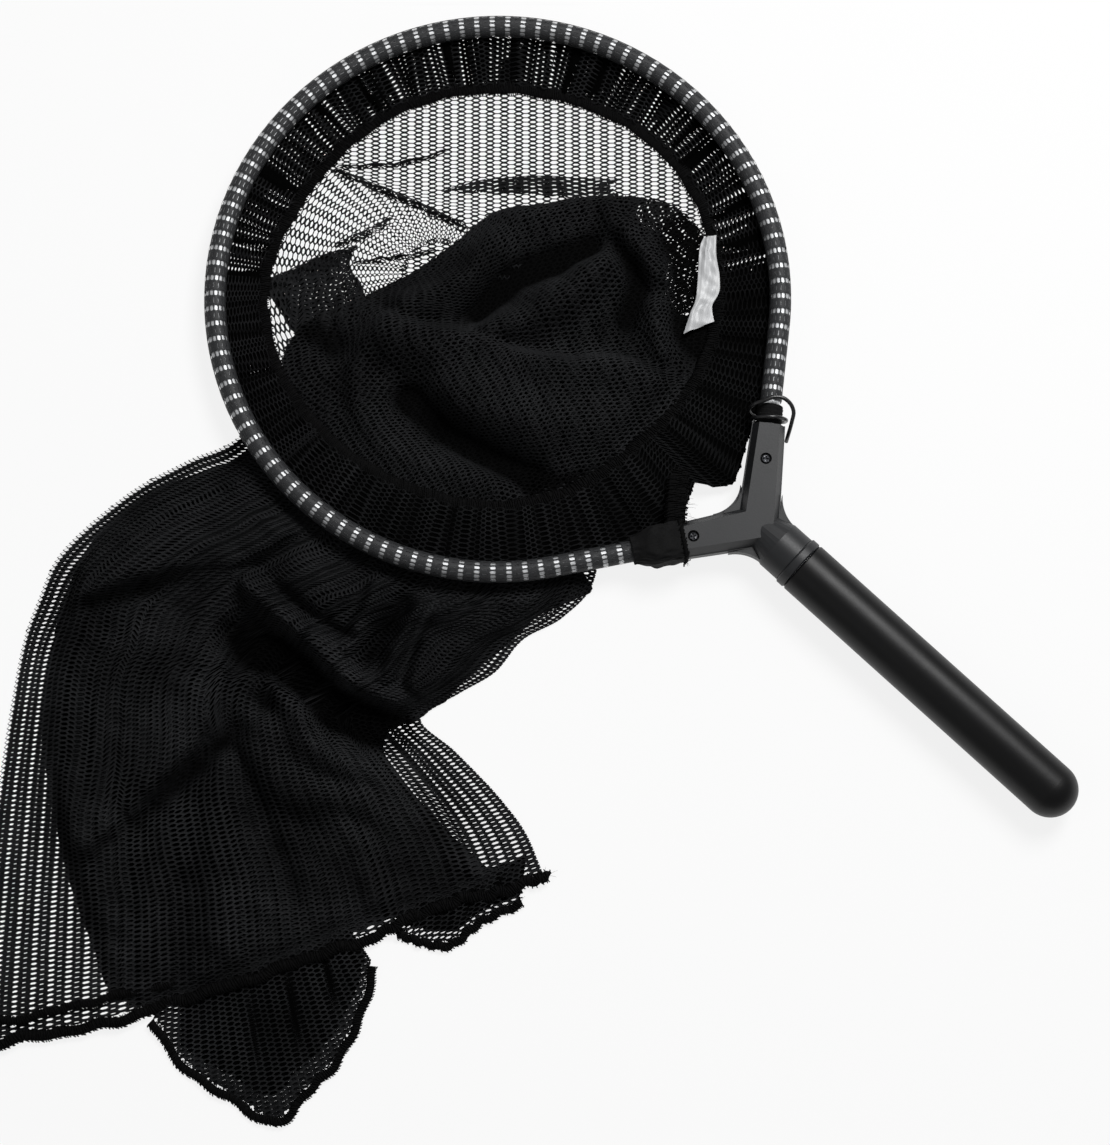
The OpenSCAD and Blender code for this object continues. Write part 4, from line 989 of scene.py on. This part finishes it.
# Hem: the overlocked end of the sock, rolled and frayed, along the end of the tail. Black spun thread,
# with a second line of it at the far corner, a finger's width inside the first.
hem_shares = np.linspace(0.005, 0.995, 190)
hem_line = smooth_line(from_rim(tail_end), hem_shares)
stray = 1.6 * np.sin(hem_shares * 61) * np.sin(hem_shares * 23) + 0.7 * np.sin(hem_shares * 151)
hem_edge = hem_line + outward_of(hem_line) * (2.6 + stray)[:, None] * MM
hem_height = 4.2 * MM + 0.9 * MM * np.sin(hem_shares * 47)
hem_pitch = 1.5 * MM
hem = overlocked("overlocked_hem", lifted(hem_edge, hem_height), False, 7.4 * MM, 4.6 * MM, hem_pitch,
                 loose=0.7, seed=21)
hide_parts("sock_hem")
inner_part = hem_shares < 0.3
inner_hem = hem_line[inner_part] - outward_of(hem_line)[inner_part] * (11 + stray[inner_part])[:, None] * MM
inner_height = 4.6 * MM + 0.6 * MM * np.sin(hem_shares[inner_part] * 90)
overlocked("overlocked_inner_hem", lifted(inner_hem, inner_height), False, 5.2 * MM, 3.6 * MM, hem_pitch,
           loose=0.4, seed=22)


# Flaps: two tongues of the lower layer that show beyond the hem, each with its own overlocked edge.
# The net is folded over itself on them, and their middle layer is in painted shade, so they are dark but for
# a margin.
flaps, flap_hems = [], []
# Outer edge in mm, and the shares of the hem between which the flap hangs
flap_edges = {
    "long_flap": (
        [(313, -20), (333, 13), (339, 46), (342, 78), (318, 88), (295, 97), (262, 99), (230, 94)],
        0.225, 0.47),
    "short_flap": ([(208, 101), (207, 116), (202, 134), (181, 146), (160, 166)], 0.56, 0.94),
}
# Level in mm, reach towards the edge, where it starts along the hem, stitch and yarn
flap_layers = (
    (0.8, 1.0, 0.0, half_stitch, polyester),
    (1.6, 0.86, 0.12, close_stitch, shaded_polyester),
    (2.8, 1.0, 0.0, open_stitch, polyester))
for number, (name, (edge_points, first, last)) in enumerate(flap_edges.items()):
    down, over = np.linspace(0, 1, 50)[:, None], np.linspace(0, 1, 70)
    inner = smooth_line(from_rim(tail_end), first + (last - first) * over)
    inner = inner - outward_of(inner) * 14 * MM
    outer = smooth_line(from_rim(edge_points), over)
    for layer, (level, reach, start, stitch, yarn) in enumerate(flap_layers):
        part = start + (1 - start) * over
        plan_flap = inner[None] + (outer - inner)[None] * reach * down[..., None]
        plan_flap = np.stack([
            np.stack([np.interp(part, over, line[:, k]) for k in (0, 1)], axis=-1) for line in plan_flap])
        ripple = (0.3 + 0.5 * layer) * MM * (1 + np.sin(over * 31 + layer * 2 + 2 * down))
        places = lifted(plan_flap, level * MM + ripple * np.sin(math.pi * down * 0.9))
        column, row = surface_lengths(places)
        row = row.mean(axis=0) + 0 * down
        flaps.append(knitted(
            f"{name}_layer_{layer + 1}", places, np.stack([row, column], axis=-1),
            stitch=stitch, seed=12.0 + 3 * number + layer, yarn=yarn))
    shares = np.linspace(0.03, 0.97, 110)
    line = smooth_line(from_rim(edge_points), shares)
    line = line + outward_of(line) * (1.6 + 0.9 * np.sin(shares * 57))[:, None] * MM
    level = 2.1 * MM + 0.6 * MM * np.sin(shares * 33)
    flap_hems.append(overlocked(
        f"{name}_hem", lifted(line, level), False, 6.0 * MM, 3.8 * MM, hem_pitch, loose=0.7,
        seed=31 + number))
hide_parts("lower_flap")
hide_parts("flap_hem")


# Binding: the upper end of the sleeve, wound round with five turns of black cotton tape beside the arm.
# Each turn laps over the one before it, and the tape holds the sleeve's end on the hoop.
def arm_frame(side):
    """Turns [along the arm, outward, up], in metres from where the arms cross, into a place."""
    along, out = arm_way(side)

    def place_on(x, y, z):
        places = arm_origin
        for lengths, way in ((x, along), (y, out), (z, up)):
            places = places + np.outer(np.ravel(lengths), way)
        return places
    return place_on


def ring_grid(rows, sides):
    """Shares along a tube and angles round it, for each point of its skin."""
    return np.meshgrid(
        np.linspace(0, 1, rows), np.linspace(0, 2 * math.pi, sides, endpoint=False), indexing="ij")


def lofted(name, sections, closed_ends=False):
    """A skin over rings of points, all with the same count."""
    rings, count = sections.shape[:2]
    index = np.arange(rings * count).reshape(rings, count)
    after = np.roll(index, -1, axis=1)
    faces = np.stack([index[:-1], after[:-1], after[1:], index[1:]], axis=-1).reshape(-1, 4).tolist()
    if closed_ends:
        faces += [index[0][::-1].tolist(), index[-1].tolist()]
    mesh = bpy.data.meshes.new(name)
    mesh.from_pydata(sections.reshape(-1, 3).tolist(), [], faces)
    shaped = bmesh.new()
    shaped.from_mesh(mesh)
    bmesh.ops.recalc_face_normals(shaped, faces=shaped.faces)
    shaped.to_mesh(mesh)
    shaped.free()
    for face in mesh.polygons:
        face.use_smooth = len(face.vertices) == 4
    return shown(name, mesh)


# Cotton tape: flat woven black ribbon, with cells of about 0.9 mm that stand for its plain weave
tape, tree, shader, place = start_material("woven_cotton_tape", Roughness=0.85, Specular_IOR_Level=0.2)
weave = add(tree, "ShaderNodeTexVoronoi", {"Vector": place, "Scale": 1 / (0.9 * MM)})
tint = add(tree, "ShaderNodeMix", {
    "Factor": weave.outputs["Distance"], 6: linear("#131314"), 7: linear("#050505")}, data_type="RGBA")
bump = add(tree, "ShaderNodeBump", {
    "Height": weave.outputs["Distance"], "Strength": 0.5, "Distance": 0.2 * MM, "Filter Width": 0.1})
tree.links.new(tint.outputs[2], shader.inputs["Base Color"])
tree.links.new(bump.outputs["Normal"], shader.inputs["Normal"])

binding_from, binding_to, binding_turns = 66.8 * MM, 79.4 * MM, 5
rows, sides = 61, 40
step, a = ring_grid(rows, sides)
lap = np.mod(step * binding_turns - a / (2 * math.pi), 1.0)
end_round = np.sqrt(np.clip(1 - (2 * step - 1) ** 12, 0, 1))
radius = 6.6 * MM + (1.35 * MM + 0.55 * MM * lap) * end_round
place_on = arm_frame(1)
binding_x = binding_from + (binding_to - binding_from) * step
binding_skin = place_on(binding_x, radius * np.cos(a), radius * np.sin(a))
binding = lofted("tape_binding", binding_skin.reshape(rows, sides, 3), True)
binding.data.materials.append(tape)
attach(binding, "root")
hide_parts("sleeve_binding")


# Cuff: the other end of the sleeve, doubled and pulled over the mouth of the arm, cut off raw.
# Its cloth is crumpled, and threads stand out of the raw edge.
def box_ring(a, half_w, half_h, power):
    """Places round a section between a box and an oval, at the given angles."""
    return [half * np.sign(t) * abs(t) ** power for half, t in ((half_w, np.cos(a)), (half_h, np.sin(a)))]


cuff_from, cuff_to = 47.5 * MM, 81 * MM
box_power = 0.42
rows, sides = 40, 72
step, a = ring_grid(rows, sides)
roundness = ease((step - 0.55) / 0.42)
half_w = (12.4 * (1 - roundness) + 8.8 * roundness) * MM
half_h = (13.6 * (1 - roundness) + 8.8 * roundness) * MM
power = box_power + 0.58 * roundness
cuff_waves = ((7, 9, 0.3), (11, -14, 2.0), (5, 21, 4.1), (17, 5, 1.2))
crumple = sum(np.sin(a * n + step * m + p) for n, m, p in cuff_waves) * 0.22 * MM
y, z = box_ring(a, half_w + crumple, half_h + crumple, power)
raw_edge = 1.2 * MM * np.sin(a * 9) * np.sin(a * 4 + 1) * (1 - step) ** 3
place_on = arm_frame(-1)
cuff_x = cuff_from + (cuff_to - cuff_from) * step + raw_edge
cuff = lofted("ragged_cuff", place_on(cuff_x, y, z).reshape(rows, sides, 3))
wall = cuff.modifiers.new("wall", "SOLIDIFY")
wall.thickness = 0.7 * MM
cuff.data.materials.append(tape)
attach(cuff, "root")
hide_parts("sleeve_cuff")

a = np.linspace(0, 2 * math.pi, 60, endpoint=False)
edge_line = place_on(
    np.full(60, cuff_from + 1 * MM), *box_ring(a, 12.6 * MM, 13.8 * MM, box_power))
overlocked("cuff_fray", edge_line, True, 3.0 * MM, 1.6 * MM, 2.4 * MM, loose=0.9, seed=41)

# The raw end of the header runs on from the cuff across the corner between the arms
shares = np.linspace(0, 1, 50)
strip_plan = smooth_line([(163, -4), (168, -12), (175, -21), (183, -31), (188, -37)], shares)
strip_z = np.interp(shares, (0, 0.35, 0.75, 1), (11, 15, 23, 25)) * MM
overlocked("header_raw_end", lifted(strip_plan, strip_z), False, 14.0 * MM, 5.0 * MM, 1.3 * MM,
           loose=0.9, seed=42)


# Label: a blank white satin ribbon, folded along its length and sewn into the seam on the handle's side.
# It lies a little crumpled, with a soft ridge on each side of its crease.
label_t = 0.3 * MM
label_inner = [(70, 121), (73, 114), (85, 99), (94, 87), (98, 77), (104, 64)]
label_outer = [(75, 128), (84, 118), (95, 109), (102, 101), (105, 91), (113, 84)]
shares, over = np.linspace(0, 1, 90), np.linspace(0, 1, 31)[:, None]
near, far = smooth_line(label_inner, shares), smooth_line(label_outer, shares)
ribbon_plan = near[None] * (1 - over[..., None]) + far[None] * over[..., None]
crease_at = 0.5 + 0.12 * np.sin(shares * 5 + 1)
near_ridge = 1.9 * np.exp(-((over - crease_at + 0.24) / 0.15) ** 2)
far_ridge = 1.2 * np.exp(-((over - crease_at - 0.26) / 0.18) ** 2)
across_fold = near_ridge + far_ridge
crumple = 0.45 * np.sin(shares * 21 + over * 4) + 0.3 * np.sin(shares * 47 - over * 9)
ribbon_z = (6.0 + across_fold * (0.8 + 0.4 * np.sin(shares * 9)) + crumple * np.sin(math.pi * over)) * MM
ribbon = lifted(ribbon_plan, ribbon_z)
label = cloth("satin_label", ribbon, spread_out(ribbon))
wall = label.modifiers.new("wall", "SOLIDIFY")
wall.thickness = label_t
for face in label.data.polygons:
    face.use_smooth = True
# Woven satin: white, with faint creases in its bump and as painted shade in its colour, and a soft gloss
# along the floats, which are drawn coarser than real, in the bump and as painted sheen in its colour
satin, tree, shader, place = start_material("woven_satin", Roughness=0.42, Sheen_Weight=0.3)
floats = add(tree, "ShaderNodeTexWave", {
    "Vector": add(tree, "ShaderNodeAttribute", attribute_name="flat").outputs["Vector"],
    "Scale": 0.16 / MM, "Distortion": 1.5, "Detail": 2.0}, bands_direction="Y")
crease = add(tree, "ShaderNodeTexNoise", {"Vector": place, "Scale": 1 / (7 * MM), "Detail": 3.0})
both = add(tree, "ShaderNodeMath", {
    0: floats.outputs["Fac"], 1: 0.15, 2: crease.outputs["Fac"]}, operation="MULTIPLY_ADD")
tint = add(tree, "ShaderNodeMix", {
    "Factor": both.outputs[0], 6: linear("#a4a5a7"), 7: linear("#dadbdc")}, data_type="RGBA")
bump = add(tree, "ShaderNodeBump", {"Height": both.outputs[0], "Strength": 0.4, "Distance": 0.6 * MM})
tree.links.new(tint.outputs[2], shader.inputs["Base Color"])
tree.links.new(bump.outputs["Normal"], shader.inputs["Normal"])
label.data.materials.append(satin)
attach(label, "root")
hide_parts("care_label")


# Tie cord: black elastic cord, wound twice round the end of the sleeve at the upper arm and left as a loop.
# Its route is in mm along the arm, outward and up, from where the arms cross.
cord_d = 2.6 * MM
cord_route = [
    (69, -4, -11.2), (69, -10.6, -4), (69, -10.2, 4), (69, -6, 9.2), (69.5, 0, 11),
    (70, 6, 9.2), (70.5, 10.6, 3), (71, 10, -5), (72, 4, -10.6), (73, -4, -11.2),
    (73.5, -11, -5), (75, -13.4, 2.5), (77, -10.5, 8.6), (79.5, -5, 10.8), (82.4, 1, 11.2),
    (82.6, 7, 10.6), (79.6, 12, 9.4), (75, 14.6, 7.6), (70, 14.4, 5), (65.2, 13.8, 1.5),
    (61.2, 13.2, -3), (59, 13, -7.5)]
local = smooth_line(cord_route, np.linspace(0, 1, 160))
cord_line = arm_frame(1)(local[:, 0], local[:, 1], local[:, 2])
curve = bpy.data.curves.new("tie_cord_loop", "CURVE")
curve.dimensions = "3D"
curve.bevel_depth = cord_d / 2
curve.bevel_resolution = 5
curve.use_fill_caps = True
spline = curve.splines.new("POLY")
spline.points.add(len(cord_line) - 1)
for point, (x, y, z) in zip(spline.points, cord_line):
    point.co = (x, y, z, 1.0)
cord = shown("tie_cord_loop", curve)
# Braided elastic: glossy black rayon over rubber, with cells of about 0.8 mm that stand for its braid
braid, tree, shader, place = start_material("braided_elastic", Roughness=0.3, Coat_Weight=0.2)
plait = add(tree, "ShaderNodeTexVoronoi", {"Vector": place, "Scale": 1 / (0.8 * MM)})
tint = add(tree, "ShaderNodeMix", {
    "Factor": plait.outputs["Distance"], 6: linear("#1e1e20"), 7: linear("#0a0a0b")}, data_type="RGBA")
bump = add(tree, "ShaderNodeBump", {
    "Height": plait.outputs["Distance"], "Strength": 0.3, "Distance": 0.15 * MM})
tree.links.new(tint.outputs[2], shader.inputs["Base Color"])
tree.links.new(bump.outputs["Normal"], shader.inputs["Normal"])
curve.materials.append(braid)
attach(cord, "root")
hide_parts("tie_cord")


# Studio: a pale seamless floor, a large soft lamp above and beyond the handle's side, and a weak fill.
# The camera stands where the photograph was taken, 10 degrees off the vertical.
floor = shown("floor", bpy.data.meshes.new("floor"))
floor_half = 4.0
floor_corners = [(x * floor_half, y * floor_half, 0) for x, y in ((-1, -1), (1, -1), (1, 1), (-1, 1))]
floor.data.from_pydata(floor_corners, [], [(0, 1, 2, 3)])
paper = bpy.data.materials.new("white_paper")
paper.use_nodes = True
tree = paper.node_tree
tree.nodes.clear()
matt = add(tree, "ShaderNodeBsdfDiffuse", {"Color": linear("#f4f4f4")})
glow = add(tree, "ShaderNodeEmission", {"Color": (1, 1, 1, 1), "Strength": 1.0})
# What is seen of the floor, directly or in a gloss, is mostly an even white under soft shadows
even_share = 0.84
ray = add(tree, "ShaderNodeLightPath")
seen = add(tree, "ShaderNodeMath", {
    0: ray.outputs["Is Camera Ray"], 1: ray.outputs["Is Glossy Ray"]}, operation="MAXIMUM")
seen = add(tree, "ShaderNodeMath", {
    0: seen.outputs[0], 1: ray.outputs["Is Transmission Ray"]}, operation="MAXIMUM")
share = add(tree, "ShaderNodeMath", {0: seen.outputs[0], 1: even_share}, operation="MULTIPLY")
both = add(tree, "ShaderNodeMixShader", {0: share.outputs[0], 1: matt.outputs[0], 2: glow.outputs[0]})
add(tree, "ShaderNodeOutputMaterial", {"Surface": both.outputs[0]})
floor.data.materials.append(paper)

world_light = 0.22
world = bpy.data.worlds.new("studio")
bpy.context.scene.world = world
world.use_nodes = True
world.node_tree.nodes.clear()
# Past the floor's edge the backdrop shows white, and it still lights the object at its plain level
ray = add(world.node_tree, "ShaderNodeLightPath")
level = add(world.node_tree, "ShaderNodeMapRange", {
    "Value": ray.outputs["Is Camera Ray"], "To Min": world_light, "To Max": 1.0})
sky = add(world.node_tree, "ShaderNodeBackground", {"Color": (1, 1, 1, 1), "Strength": level.outputs[0]})
add(world.node_tree, "ShaderNodeOutputWorld", {"Surface": sky.outputs[0]})

camera_aim = Vector((0.151, -0.1086, 0.0175))
camera_azimuth, camera_elevation = picture_turn, math.radians(80)
camera_distance = 1.5
right = Vector((math.cos(camera_azimuth), math.sin(camera_azimuth), 0))
back = Vector((
    math.sin(camera_azimuth) * math.cos(camera_elevation),
    -math.cos(camera_azimuth) * math.cos(camera_elevation),
    math.sin(camera_elevation)))
upward = back.cross(right)


def lamp(name, offset, size, power):
    """Round soft lamp, set off from the place that the camera aims at and facing it."""
    light = bpy.data.lights.new(name, "AREA")
    light.shape = "DISK"
    light.size = size
    light.energy = power
    made = shown(name, light)
    origin = camera_aim + offset
    facing = (camera_aim - origin).to_track_quat("-Z", "Y").to_matrix().to_4x4()
    made.matrix_world = Matrix.Translation(origin) @ facing


lamp("key_softbox", right * 0.7 + upward * 1.0 + Vector((0, 0, 1.5)), 0.9, 34)
lamp("fill_softbox", right * -1.2 + upward * -0.6 + Vector((0, 0, 1.6)), 1.4, 2)

camera = shown("camera", bpy.data.cameras.new("camera"))
camera.data.sensor_width = 36
camera.data.lens = 74.8
camera_facing = Matrix((right, upward, back)).transposed().to_4x4()
camera.matrix_world = Matrix.Translation(camera_aim + back * camera_distance) @ camera_facing
bpy.context.scene.camera = camera
bpy.context.scene.view_settings.view_transform = "Standard"
